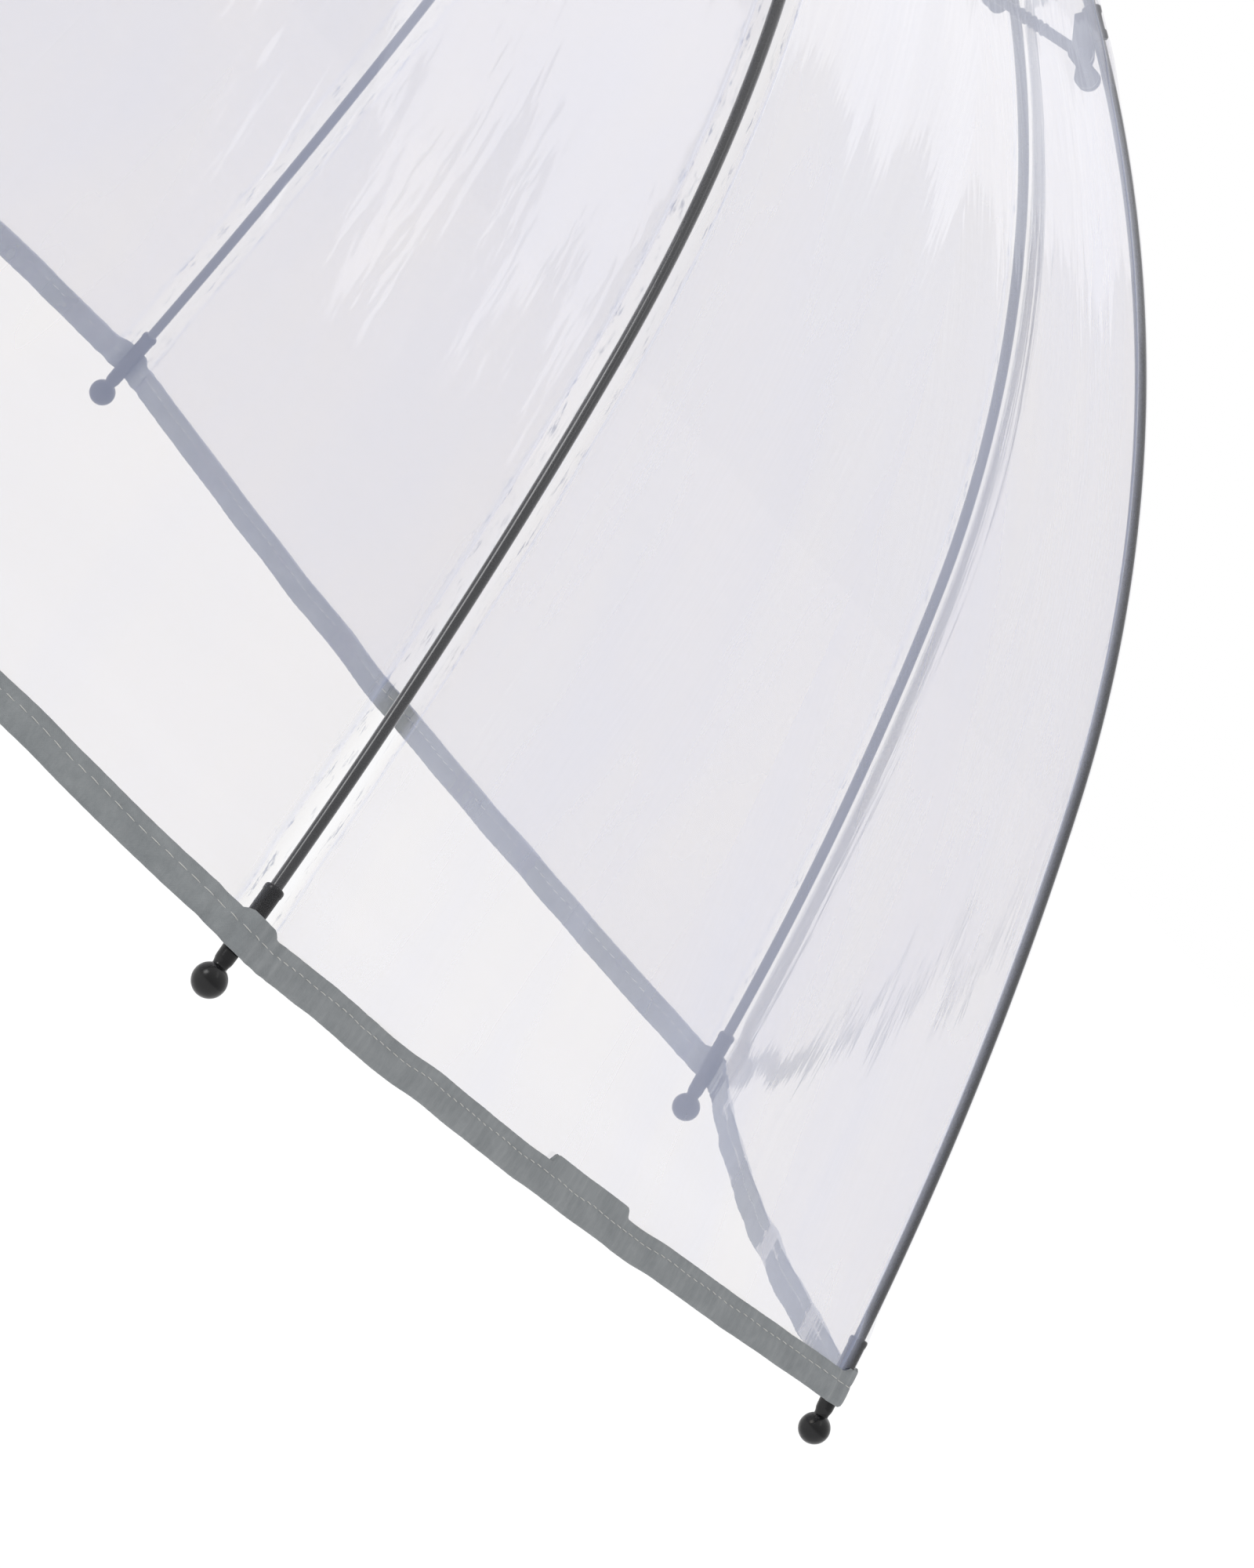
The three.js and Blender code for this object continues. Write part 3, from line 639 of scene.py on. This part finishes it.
TAPE_REACH = 172  # half a tape piece's length, for counting its steps and stitches


def tape_rise(azimuth):
    """How far the tape's top edge stands above its usual line: at each tip, and where its ends overlap."""
    turn = (azimuth - FIRST_RIB) % (2 * PANEL_HALF)
    aside = np.where(turn > PANEL_HALF, turn - 2 * PANEL_HALF, turn) * HEM_R
    tab = 1.5 * smooth(aside, -5.5, -2.5) * (1 - smooth(aside, 4.5, 8.5))
    place = (azimuth - JOIN_AZIMUTH) * HEM_R
    end = JOIN_LENGTH / 2
    join = smooth(place, -end - 1.5, -end) * (1 - smooth(place, end - 1, end + 3))
    return tab + JOIN_RISE * join, join


def tape_middle(azimuth, down):
    """The tape's middle surface at azimuths and distances below its top edge, and the way out."""
    rise, join = tape_rise(azimuth)
    down = down - rise * np.clip(1 - down / STITCH_DOWN, 0, 1)
    s = TAPE_TOP + down
    points, way, across = film_surface(s, azimuth)
    relief = film_relief(np.minimum(s, HEM - 2), azimuth, across)
    noise_r = 430
    round_it = np.stack([noise_r * np.cos(azimuth), noise_r * np.sin(azimuth), 0.35 * down], -1)
    ruffle = 0.65 * noise_at(round_it, 1 / 21, 5) + 0.25 * noise_at(round_it, 1 / 7, 6)
    gathers = np.sin(across * 1.1 + 2 * np.sin(3 * azimuth)) * np.exp(-across / 8) * smooth(across, 1.8, 4.5)
    ripple = 0.08 * np.sin(2 * pi * across / STITCH_PITCH) * (1 + 0.8 * noise_at(round_it, 1 / 12, 9))
    lift = relief + ruffle * smooth(across, 3, 14) + 0.8 * gathers + ripple + 0.35 + 0.3 * join
    wander = 0.5 * noise_at(round_it, 1 / 24, 7) + 0.1 * noise_at(round_it, 1 / 9, 8)
    shift = np.zeros_like(points)
    shift[..., 2] = -wander
    return points + way * lift[..., None] + shift, way


def tape_piece(k):
    """The folded tape along one gore's hem."""
    steps = int(2 * TAPE_REACH / TAPE_STEP_MM)
    azimuth = azimuth_of(k) + np.linspace(-PANEL_HALF, PANEL_HALF, steps + 1)
    section = np.array(TAPE_SECTION)
    az, down = np.meshgrid(azimuth, section[:, 0], indexing="ij")
    middle, way = tape_middle(az, down)
    points = middle + way * section[None, :, 1, None]
    build = Build().loft(list(points))
    tape = build.object("hem_tape_%d" % k, TAPE)
    reach = np.concatenate([[0], np.cumsum(np.hypot(*np.diff(section, axis=0).T))])
    along = (azimuth - azimuth_of(k)) * HEM_R
    set_sheet_uv(tape.data, np.stack(np.meshgrid(along, reach, indexing="ij"), -1).reshape(-1, 2) * MM)
    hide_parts("hem_tape")
    return tape


def stitch_piece(k):
    """The lockstitch along the tape, on both its faces."""
    build = Build()
    count = int(2 * TAPE_REACH / STITCH_PITCH)
    for side in (1, -1):
        for i in range(count):
            edge = azimuth_of(k) - PANEL_HALF
            azimuth = edge + 2 * PANEL_HALF * np.linspace(i + 0.05, i + 0.95, 5) / count
            slant = 0.08 * np.array([-1, -0.6, 0, 0.6, 1]) + 0.12 * sin(7.3 * i + 3 * k)
            middle, way = tape_middle(azimuth, STITCH_DOWN + slant)
            bow = np.array([0.28, 0.46, 0.5, 0.46, 0.28]) * side
            centres = [Vector(p) for p in middle + way * bow[:, None]]
            way = [Vector(w) for w in way]
            down = [Vector((sin(a), -cos(a), 0)).cross(w) for a, w in zip(azimuth, way)]
            widths = [(0.05, 0.05), (0.1, 0.11), (0.12, 0.13), (0.1, 0.11), (0.05, 0.05)]
            build.swept(centres, list(zip(way, [d.normalized() for d in down])), widths, 6)
    piece = build.object("stitches_%d" % k, THREAD, slot="grey_tape")
    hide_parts("hem_tape")
    return piece


for k in range(1, RIB_COUNT + 1):
    upper = rows_of(gores[k], upper_rows)
    lower = rows_of(gores[k], lower_rows)
    upper_film = film_piece("film_upper_%d" % k, [(k, upper)])
    lower_film = film_piece("film_lower_%d" % k, [(k, lower)])
    tape = tape_piece(k)
    stitches = stitch_piece(k)
    for piece, body in ((upper_film, "rib_"), (lower_film, "rib_lower_"), (tape, "rib_lower_"),
                        (stitches, "rib_lower_")):
        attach(piece, body + str(k))
        fold(piece)


# ---- Ribs, tips, clips and stretchers, each made once in the plane y = 0 and turned to its azimuth ----
Y = Vector((0, 1, 0))
ROD_TURNS = 20
elbow_r, elbow_z, elbow_slope = (float(x) for x in rib_point(ELBOW))


def in_plane(s):
    """A rib's centre line at a length s, and the way out of the dome there."""
    r, z, slope = rib_point(s)
    return Vector((float(r), 0, float(z))), Vector((sin(slope), 0, cos(slope)))


def rod(build, s_values, radii):
    """A round rod along the rib's own curve."""
    places = [in_plane(s) for s in s_values]
    build.swept([p for p, _ in places], [(out, Y) for _, out in places], [(r, r) for r in radii], ROD_TURNS)


def eye(build, centre, radius, hole, thickness, turns=32):
    """A flat eye about Y with rounded edges."""
    x, z = centre
    h, e = thickness / 2, 0.3
    profile = [(hole, -h), (radius - e, -h), (radius, -h + e), (radius, h - e), (radius - e, h), (hole, h)]
    build.turned(profile, turns, upright(x, 0, z), closed=True)


def upper_rib_mesh():
    """The rib from the eye on the crown's ring to the elbow."""
    build = Build()
    s = list(np.linspace(1.9, ELBOW, 90))
    rod(build, s, [ROD_R] * len(s))
    eye(build, (RING_R, CROWN_Z), 2.3, 1.0, 2.4)
    return build


def lower_rib_mesh():
    """The rib from its round end in the clip to just past the hem, inside the tip's sleeve."""
    build = Build()
    steps = 150
    round_end = [(ELBOW - ROD_R * cos(a), ROD_R * sin(a)) for a in np.linspace(0, pi / 2, 6)]
    s = [p[0] for p in round_end] + list(np.linspace(ELBOW, HEM + 4, steps))[1:]
    rod(build, s, [p[1] for p in round_end] + [ROD_R] * (steps - 1))
    return build


def tip_mesh():
    """Ball, neck and sleeve, moulded in one, turned about its axis from the ball's centre."""
    centre, out = in_plane(HEM + BALL_BELOW_HEM)
    towards_rib = Y.cross(out)
    if towards_rib.z < 0:
        towards_rib = -towards_rib
    place = Matrix((
        (out.x, 0, towards_rib.x, centre.x), (out.y, 1, towards_rib.y, centre.y),
        (out.z, 0, towards_rib.z, centre.z), (0, 0, 0, 1)))
    neck_r = 1.85
    neck_turn = pi / 2 - asin(neck_r / BALL_R)
    ball = [(BALL_R * cos(a), BALL_R * sin(a)) for a in np.linspace(-pi / 2, neck_turn, 22)]
    ball[0] = (0.0, -BALL_R)
    neck = [(neck_r - 0.05, 3.75), (neck_r + 0.01, 4.3)]
    r = 2.2
    sleeve = [(r - 0.12, 5.0), (r - 0.05, 5.6), (r, 8), (r + 0.02, 16), (r + 0.03, 22.6)]
    lip = [(r + 0.16, 23.0), (r + 0.18, 23.9), (r + 0.05, 24.3), (r - 0.2, SLEEVE_TOP)]
    inside = [(ROD_R + 0.1, SLEEVE_TOP), (ROD_R + 0.05, 20), (0.0, 20)]
    return Build().turned(ball + neck + sleeve + lip + inside, 40, place)


def clip_frame():
    """The clip's own frame, at the elbow: x along the rib, z outwards."""
    along = (cos(elbow_slope), 0, -sin(elbow_slope), 0)
    out = (sin(elbow_slope), 0, cos(elbow_slope), 0)
    return Matrix((along, (0, 1, 0, 0), out, (elbow_r, 0, elbow_z, 1))).transposed()


def clip_mesh():
    """A sleeve round the rib, and two ears below it with a lobe at the pivot and one further out."""
    lie = clip_frame() @ Matrix.Rotation(pi / 2, 4, "Y")
    end = -ROD_R - 0.6
    start = end - CLIP_LENGTH
    inner, outer, waist_r = ROD_R + 0.1, CLIP_R, CLIP_R - 0.3
    profile = [(inner, start), (waist_r, start), (outer, start + 0.35), (outer, start + 1.8),
               (waist_r, start + 2.3), (waist_r, end - 2.6), (outer, end - 2.1), (outer, end - 0.35),
               (waist_r, end), (inner, end)]
    build = Build().turned(profile, 32, lie, closed=True)
    depth = -PIVOT_DEPTH
    turns = np.linspace(-pi / 2, pi / 2, 13)
    outer_lobe = [(LOBE_SPACING + LOBE_R * cos(a), depth + LOBE_R * sin(a)) for a in turns]
    top = [(LOBE_SPACING / 2, depth + 1.7), (LOBE_R * 0.5, depth + LOBE_R * 0.85), (0, -1.9), (end, -1.2)]
    back = [(start + 1.2, -1.2), (start + 1.2, depth + 0.9)]
    pivot_lobe = [(-LOBE_R * cos(a), depth - LOBE_R * sin(a)) for a in np.linspace(0.5, pi / 2, 7)]
    outline = outer_lobe + top + back + pivot_lobe + [(LOBE_SPACING / 2, depth - 1.9)]
    for side in (-1, 1):
        y = side * (EAR_GAP + EAR_THICK) / 2
        place = clip_frame() @ Matrix.Translation((0, y, 0)) @ Matrix.Rotation(pi / 2, 4, "X")
        build.plate(outline, EAR_THICK, place)
    return build


def rivet_mesh():
    """The pivot's rivet, through the ears and the stretcher's eye, and the heads in the outer lobe."""
    build = Build()
    ear_face = EAR_GAP / 2 + EAR_THICK
    turns = 24
    head_height = 0.55

    def dome(r):
        arc = np.linspace(0, pi / 2, 7)[:-1]
        return [(r * cos(a), ear_face + head_height * sin(a)) for a in arc] + [(0.0, ear_face + head_height)]

    pivot = clip_frame() @ Matrix.Translation((0, 0, -PIVOT_DEPTH))
    other_end = [(r, -y) for r, y in reversed(dome(RIVET_R))]
    build.turned(other_end + dome(RIVET_R), turns, pivot @ Matrix.Rotation(-pi / 2, 4, "X"))
    head_r, foot = 0.9, EAR_GAP / 2 + 0.2
    place = clip_frame() @ Matrix.Translation((LOBE_SPACING, 0, -PIVOT_DEPTH))
    for side in (-1, 1):
        head = [(0.0, foot), (head_r, foot)] + dome(head_r)
        build.turned(head, turns, place @ Matrix.Rotation(-side * pi / 2, 4, "X"))
    return build


def stretcher_mesh():
    """An eye in the clip, a flattened root, six moulded ridges and a rod that ends short of the ring."""
    pivot = clip_frame() @ Vector((0, 0, -PIVOT_DEPTH))
    ring = Vector((RING_R, 0, RUNNER_Z))
    along = (ring - pivot).normalized()
    up = along.cross(Y)
    build = Build()
    free = (ring - pivot).length - 3.2

    def run(stations):
        """A rod through (distance from the pivot, half height, half width) stations."""
        centres = [pivot + along * x for x, _, _ in stations]
        build.swept(centres, [(up, Y)] * len(stations), [(a, b) for _, a, b in stations], ROD_TURNS)

    eye(build, (pivot.x, pivot.z), LOBE_R - 0.15, RIVET_R + 0.05, 2.2)
    run([(2.2, 1.45, 1.05), (10.2, 1.45, 1.05), (11.2, 1.35, 1.2)])
    ridges = []
    ridge_start, ridge_pitch = 10.6, 1.75
    for i in range(6):
        x = ridge_start + i * ridge_pitch
        ridges += [(x, 1.35, 1.35), (x + 0.35, 1.7, 1.7), (x + 1.0, 1.7, 1.7), (x + 1.35, 1.35, 1.35)]
    run(ridges)
    rods = [(20.5, STRETCHER_R, STRETCHER_R)]
    rods += [(x, STRETCHER_R, STRETCHER_R) for x in np.linspace(24, free - 16, 12)]
    rods += [(free - 12, 1.3, 1.1), (free - 9, 1.35, 1.05), (free - 1.4, 1.35, 1.05), (free - 0.5, 1.1, 0.95),
             (free - 0.1, 0.6, 0.6)]
    run(rods)
    return build


# Each kind's name, mesh, material, slot, the body it rides on and the CAD node it stands for.
PATTERNS = [
    ("rib_upper", upper_rib_mesh, ROD, "rib_rod", "rib_", "rib_upper_"),
    ("rib_lower", lower_rib_mesh, ROD, "rib_rod", "rib_lower_", "rib_lower_"),
    ("tip", tip_mesh, TIP, "tip_plastic", "rib_lower_", "tip_"),
    ("clip", clip_mesh, CLIP, "clip_plastic", "rib_", "clip_"),
    ("rivets", rivet_mesh, CLIP, "clip_plastic", "rib_", "clip_"),
    ("stretcher", stretcher_mesh, PAINTED, "stretcher_rod", "stretcher_", "stretcher_"),
]
for kind, mesh_of, material, slot, body, node in PATTERNS:
    first = mesh_of().object("%s_fine_1" % kind, material, slot=slot)
    for k in range(1, RIB_COUNT + 1):
        piece = first
        if k > 1:
            piece = bpy.data.objects.new("%s_fine_%d" % (kind, k), first.data)
            bpy.context.scene.collection.objects.link(piece)
        piece.matrix_world = Matrix.Rotation(azimuth_of(k), 4, "Z")
        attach(piece, body + str(k))
        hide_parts(node + str(k))


# ---- Crown, runner, shaft, ferrule and handle ----
def notched_outline(radius, floor):
    """A disc's outline with a slot for each rib."""
    half = SLOT_WIDTH / 2
    points = []
    edge = asin(half / radius)
    for k in range(1, RIB_COUNT + 1):
        a = azimuth_of(k)
        side = Vector((-sin(a), cos(a))) * half
        way = Vector((cos(a), sin(a)))
        mouth = way * (radius * cos(edge))
        points += [mouth - side, way * floor - side, way * floor + side, mouth + side]
        steps = 9
        for i in range(1, steps):
            b = a + edge + (2 * PANEL_HALF - 2 * edge) * i / steps
            points.append(Vector((radius * cos(b), radius * sin(b))))
    return points


def notched_disc(build, z_low, z_high):
    """Adds the disc that the rib or stretcher ends hinge in."""
    points = notched_outline(NOTCH_DISC_R, NOTCH_FLOOR_R + 0.3)
    rings = [[Vector((p.x, p.y, z)) for p in points] for z in (z_low, z_high)]
    build.loft(rings)


def root_piece(name, build, material, bevel, nodes, body="root"):
    """A finished piece on the shaft, riding on its body and standing for its CAD nodes."""
    piece = build.object(name, material, bevel)
    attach(piece, body)
    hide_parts(*nodes)
    return piece


crown = Build()
disc_top = CROWN_Z + DISC_EDGE_UP
lid_r = NOTCH_DISC_R - 0.4
notched_disc(crown, CROWN_Z - NOTCH_HALF, disc_top)
crown.turned([(BORE_R, CROWN_Z - 10), (7.2, CROWN_Z - 10), (8.1, CROWN_Z - 9.2), (8.3, CROWN_Z - 5),
              (8.3, disc_top), (BORE_R, disc_top)], 64, closed=True)
lid = [(BORE_R, disc_top), (lid_r, disc_top), (NOTCH_DISC_R, disc_top + 0.4), (NOTCH_DISC_R, disc_top + 1.0),
       (lid_r, disc_top + 1.4), (BORE_R, disc_top + 1.4)]
crown.turned(lid, 64, closed=True)
root_piece("crown_fine", crown, BLACK, 0.25, ["crown"])

runner = Build()
notched_disc(runner, RUNNER_Z - NOTCH_HALF, RUNNER_Z + NOTCH_HALF)
low = RUNNER_Z - 24
sleeve = [(BORE_R, low), (SLEEVE_R + 1.3, low), (SLEEVE_R + 1.6, low + 0.4), (SLEEVE_R + 1.6, low + 1.6),
          (SLEEVE_R + 1.2, low + 2.2), (SLEEVE_R, low + 3.2)]
groove_pitch, groove_r = 2.4, SLEEVE_R - 0.35
for i in range(5):
    z = low + 5 + groove_pitch * i
    sleeve += [(SLEEVE_R, z), (groove_r, z + 0.4), (groove_r, z + 1.0), (SLEEVE_R, z + 1.4)]
sleeve += [(SLEEVE_R, RUNNER_Z + 7.6), (SLEEVE_R - 0.4, RUNNER_Z + 8), (BORE_R, RUNNER_Z + 8)]
runner.turned(sleeve, 64, closed=True)
root_piece("runner_fine", runner, BLACK, 0.25, ["runner"], "runner")

for name, z, body in (("crown_ring", CROWN_Z, "root"), ("runner_ring", RUNNER_Z, "runner")):
    circle = [(RING_R + WIRE_R * cos(a), z + WIRE_R * sin(a)) for a in np.linspace(0, 2 * pi, 13)[:-1]]
    root_piece(name + "_fine", Build().turned(circle, 72, closed=True), WIRE, 0, [name], body)

WASHER_R = 12
washer_low, washer_top = FILM_TOP_Z - 1.2, FILM_TOP_Z - 0.6
washer = [(BORE_R, washer_low), (WASHER_R - 0.4, washer_low), (WASHER_R, washer_low + 0.2),
          (WASHER_R, washer_top - 0.2), (WASHER_R - 0.4, washer_top), (BORE_R, washer_top)]
root_piece("film_washer_fine", Build().turned(washer, 64, closed=True), CLIP, 0, ["film_washer"])

CAP_R = 15
cap = [(BORE_R, CAP_LOW), (CAP_R - 0.4, CAP_LOW), (CAP_R, CAP_LOW + 0.4), (CAP_R, CAP_LOW + 0.9)]
cap += [(CAP_R - 6.6 * sin(a), CAP_LOW + 0.9 + 2.5 * (1 - cos(a))) for a in np.linspace(0.2, pi / 2, 8)]
cap += [(BORE_R, CAP_LOW + 3.4)]
root_piece("top_cap_fine", Build().turned(cap, 72, closed=True), BLACK, 0, ["top_cap"])

base = CAP_LOW + 3.7
ferrule = [(BORE_R, base), (7.7, base), (8, base + 0.3), (8, base + 3.4), (7.6, base + 4.2),
           (6.9, base + 4.6), (6.6, base + 5.4), (6.4, base + 7), (4.9, base + 34), (4.35, base + 47),
           (4.7, base + 47.6), (4.75, base + 50.8), (4.3, base + 51.8), (3.4, base + 52), (0, base + 52)]
root_piece("ferrule_fine", Build().turned(ferrule, 56), BLACK, 0, ["ferrule"])


def shaft_object():
    """The steel tube, with a slot cut through its wall for the nose of each catch."""
    low = 5.4
    inside = SHAFT_R - SHAFT_WALL
    tube = [(inside, low), (SHAFT_R, low), (SHAFT_R, SHAFT_TOP), (inside, SHAFT_TOP)]
    piece = Build().turned(tube, 56, closed=True).object("shaft_fine", PLATED)
    nose_share = 10.6 / 14
    clear, half_width = 0.3, 1.3
    outline = [(3, -half_width), (6, -half_width), (6, half_width), (3, half_width)]
    cutters = []
    for catch, nose_up in (("top_catch", True), ("bottom_catch", False)):
        low_z, high_z = (corner[2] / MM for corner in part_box(catch))
        nose = (high_z - low_z) * nose_share
        slot_low = high_z - nose + clear if nose_up else low_z - clear
        cutter = Build().loft([[Vector((x, y, z)) for x, y in outline] for z in (slot_low, slot_low + nose)])
        cutters.append(cutter.object("slot_cutter", PLATED))
    for cutter in cutters:
        hole = piece.modifiers.new("slot", "BOOLEAN")
        hole.object = cutter
        hole.operation = "DIFFERENCE"
        hole.solver = "EXACT"
    depsgraph = bpy.context.evaluated_depsgraph_get()
    cut = bpy.data.meshes.new_from_object(piece.evaluated_get(depsgraph))
    piece.modifiers.clear()
    piece.data = cut
    for cutter in cutters:
        bpy.data.objects.remove(cutter)
    piece.data.set_sharp_from_angle(angle=SHARP)
    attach(piece, "root")
    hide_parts("shaft")


shaft_object()


def handle_object():
    """The crook: a straight grip, a bend and a rounded end."""
    straight = [Vector((0, 0, z)) for z in np.linspace(GRIP_TOP, GRIP_BOTTOM, 40)]
    turns = np.linspace(0, CROOK_TURN, 60)[1:]
    bend = [Vector((CROOK_R * (1 - cos(t)), 0, GRIP_BOTTOM - CROOK_R * sin(t))) for t in turns]
    outs = [Vector((1, 0, 0))] * len(straight) + [Vector((cos(t), 0, sin(t))) for t in turns]
    swell = [GRIP_R - 0.6 * (1 - float(smooth(GRIP_TOP - p.z, 0, 6))) for p in straight]
    centres = straight + bend
    radii = swell + [GRIP_R] * len(bend)
    # A rounded end, its last ring closed to a point, kept in the length of the crook.
    end_length = GRIP_R * 0.6
    for i, t in enumerate(turns):
        left = (CROOK_TURN - t) * CROOK_R
        if left < end_length:
            radii[len(straight) + i] = GRIP_R * sqrt(max(1 - (1 - left / end_length) ** 2, 0))
    radii[-1] = 0.0
    crook = Build().swept(centres, [(o, Y) for o in outs], [(r, r) for r in radii], 48)
    piece = crook.object("handle_fine", HANDLE)
    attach(piece, "root")
    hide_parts("handle")


handle_object()
COLLAR_R = 11
low = GRIP_TOP + 0.3
groove_r = COLLAR_R - 0.4
collar = [(BORE_R, low), (COLLAR_R - 0.2, low), (COLLAR_R, low + 0.3), (COLLAR_R, low + 2.1),
          (groove_r, low + 2.5), (groove_r, low + 3.3), (COLLAR_R, low + 3.7), (COLLAR_R, low + 5.6),
          (COLLAR_R - 0.3, low + 6), (BORE_R, low + 6)]
root_piece("handle_collar_fine", Build().turned(collar, 72, closed=True), WIRE, 0, ["handle_collar"])
for name in ("top_catch", "bottom_catch"):
    node = frame["nodes"][name]
    node.data.materials.clear()
    node.data.materials.append(WIRE)
    add_bevel(node, 0.25)


# ---- Floor, light and camera ----
BRIGHT_WAY = (-0.1, 0.62, 0.78)  # above and behind the umbrella
WORLD_DIM = 0.5  # the light from the opposite way
WORLD_BRIGHT = 1.05  # the light from that way
FLOOR_GLOW = 0.575  # lifts the floor to the photograph's even white
FLOOR_REACH = 14  # metres from the umbrella to the floor's edges, past anything the camera sees
FLOOR_BELOW = 0.0015


def floor():
    """A wide pale floor just under the handle, as white as what is behind it."""
    z = CAD_BOUNDS[0][2] - FLOOR_BELOW
    steps = 12
    grid = np.linspace(-FLOOR_REACH, FLOOR_REACH, steps + 1)
    vertices = [(x, y, z) for y in grid for x in grid]
    columns = steps + 1
    corners = [j * columns + i for j in range(steps) for i in range(steps)]
    faces = [(c, c + 1, c + columns + 1, c + columns) for c in corners]
    n = Nodes("pale_floor")
    place = n.add("ShaderNodeTexCoord").outputs["Object"]
    shader = n.add("ShaderNodeBsdfPrincipled", Roughness=0.9)
    shader.inputs["Specular IOR Level"].default_value = 0.0
    shader.inputs["Emission Color"].default_value = (1, 1, 1, 1)
    shader.inputs["Emission Strength"].default_value = FLOOR_GLOW
    tone = n.ramp(n.noise(place, 3.0, detail=3), 0.3, 0.7, 0, 1)
    n.link(n.mix_colour(tone, (0.49, 0.49, 0.492), (0.51, 0.51, 0.512)), shader.inputs["Base Color"])
    n.link(shader.outputs[0], n.output.inputs[0])
    mesh = bpy.data.meshes.new("floor")
    mesh.from_pydata(vertices, [], faces)
    mesh.materials.append(n.material)
    ground = bpy.data.objects.new("floor", mesh)
    bpy.context.scene.collection.objects.link(ground)


def world():
    """Even white behind everything. What lights the object is brightest above and behind it."""
    surroundings = bpy.data.worlds.new("studio")
    bpy.context.scene.world = surroundings
    surroundings.use_nodes = True
    tree = surroundings.node_tree
    tree.nodes.clear()
    kinds = "OutputWorld Background Background TexCoord VectorMath MapRange LightPath MixShader".split()
    output, seen, lit, place, height, shade, path, mix = (tree.nodes.new("ShaderNode" + kind) for kind in kinds)
    seen.inputs["Color"].default_value = (1, 1, 1, 1)
    seen.inputs["Strength"].default_value = 1.0
    lit.inputs["Strength"].default_value = 1.0
    height.operation = "DOT_PRODUCT"
    height.inputs[1].default_value = BRIGHT_WAY
    shade.inputs["From Min"].default_value = -0.8
    shade.inputs["From Max"].default_value = 0.9
    shade.inputs["To Min"].default_value = WORLD_DIM
    shade.inputs["To Max"].default_value = WORLD_BRIGHT
    tree.links.new(place.outputs["Generated"], height.inputs[0])
    tree.links.new(height.outputs["Value"], shade.inputs[0])
    tree.links.new(shade.outputs[0], lit.inputs["Color"])
    tree.links.new(path.outputs["Is Camera Ray"], mix.inputs[0])
    tree.links.new(lit.outputs[0], mix.inputs[1])
    tree.links.new(seen.outputs[0], mix.inputs[2])
    tree.links.new(mix.outputs[0], output.inputs[0])


AIM = Vector((0, 0, 0.52))


def softbox(name, direction, distance, size, power, tint=(1, 1, 1)):
    """A rectangular lamp of a size in metres and a power in watts, turned to the middle of the dome."""
    lamp = bpy.data.lights.new(name, "AREA")
    lamp.shape = "RECTANGLE"
    lamp.size, lamp.size_y = size
    lamp.energy = power
    lamp.color = tint
    holder = bpy.data.objects.new(name, lamp)
    bpy.context.scene.collection.objects.link(holder)
    way = Vector(direction).normalized()
    holder.location = AIM + way * distance
    holder.rotation_mode = "QUATERNION"
    holder.rotation_quaternion = (-way).to_track_quat("-Z", "Y")
    holder.visible_camera = False


VIEW_FROM = Vector((-0.184, -2.128, 0.580))  # metres
VIEW_RIGHT_SHIFT = 0.002  # metres
VIEW_AHEAD = Vector((0.2102, 0.9748, -0.0742))
VIEW_UP = Vector((-0.7080, 0.2041, 0.6761))
SENSOR = 36
FOCAL_LENGTH = 193.7


def camera():
    """The photograph's own view: rolled, because the photographed umbrella lies on its rim and handle."""
    lens = bpy.data.cameras.new("view")
    lens.sensor_width = SENSOR
    lens.lens = FOCAL_LENGTH
    lens.clip_start, lens.clip_end = 0.05, 60
    holder = bpy.data.objects.new("view", lens)
    bpy.context.scene.collection.objects.link(holder)
    ahead = VIEW_AHEAD.normalized()
    right = ahead.cross(VIEW_UP).normalized()
    up = right.cross(ahead).normalized()
    turn = Matrix((right, up, -ahead)).transposed().to_4x4()
    holder.matrix_world = Matrix.Translation(VIEW_FROM + right * VIEW_RIGHT_SHIFT) @ turn
    bpy.context.scene.camera = holder


floor()
world()
softbox("key", direction=(-0.85, -0.5, 0.32), distance=2.4, size=(0.9, 0.9), power=12)
softbox("rim", direction=(0.62, 0.6, 0.5), distance=2.2, size=(0.5, 1.6), power=0.8, tint=(0.98, 0.99, 1))
softbox("front_top", direction=(0.15, -0.5, 0.85), distance=2.4, size=(0.35, 1.5), power=1.6)
camera()
scene = bpy.context.scene
scene.view_settings.view_transform = "Standard"
scene.view_settings.look = "None"
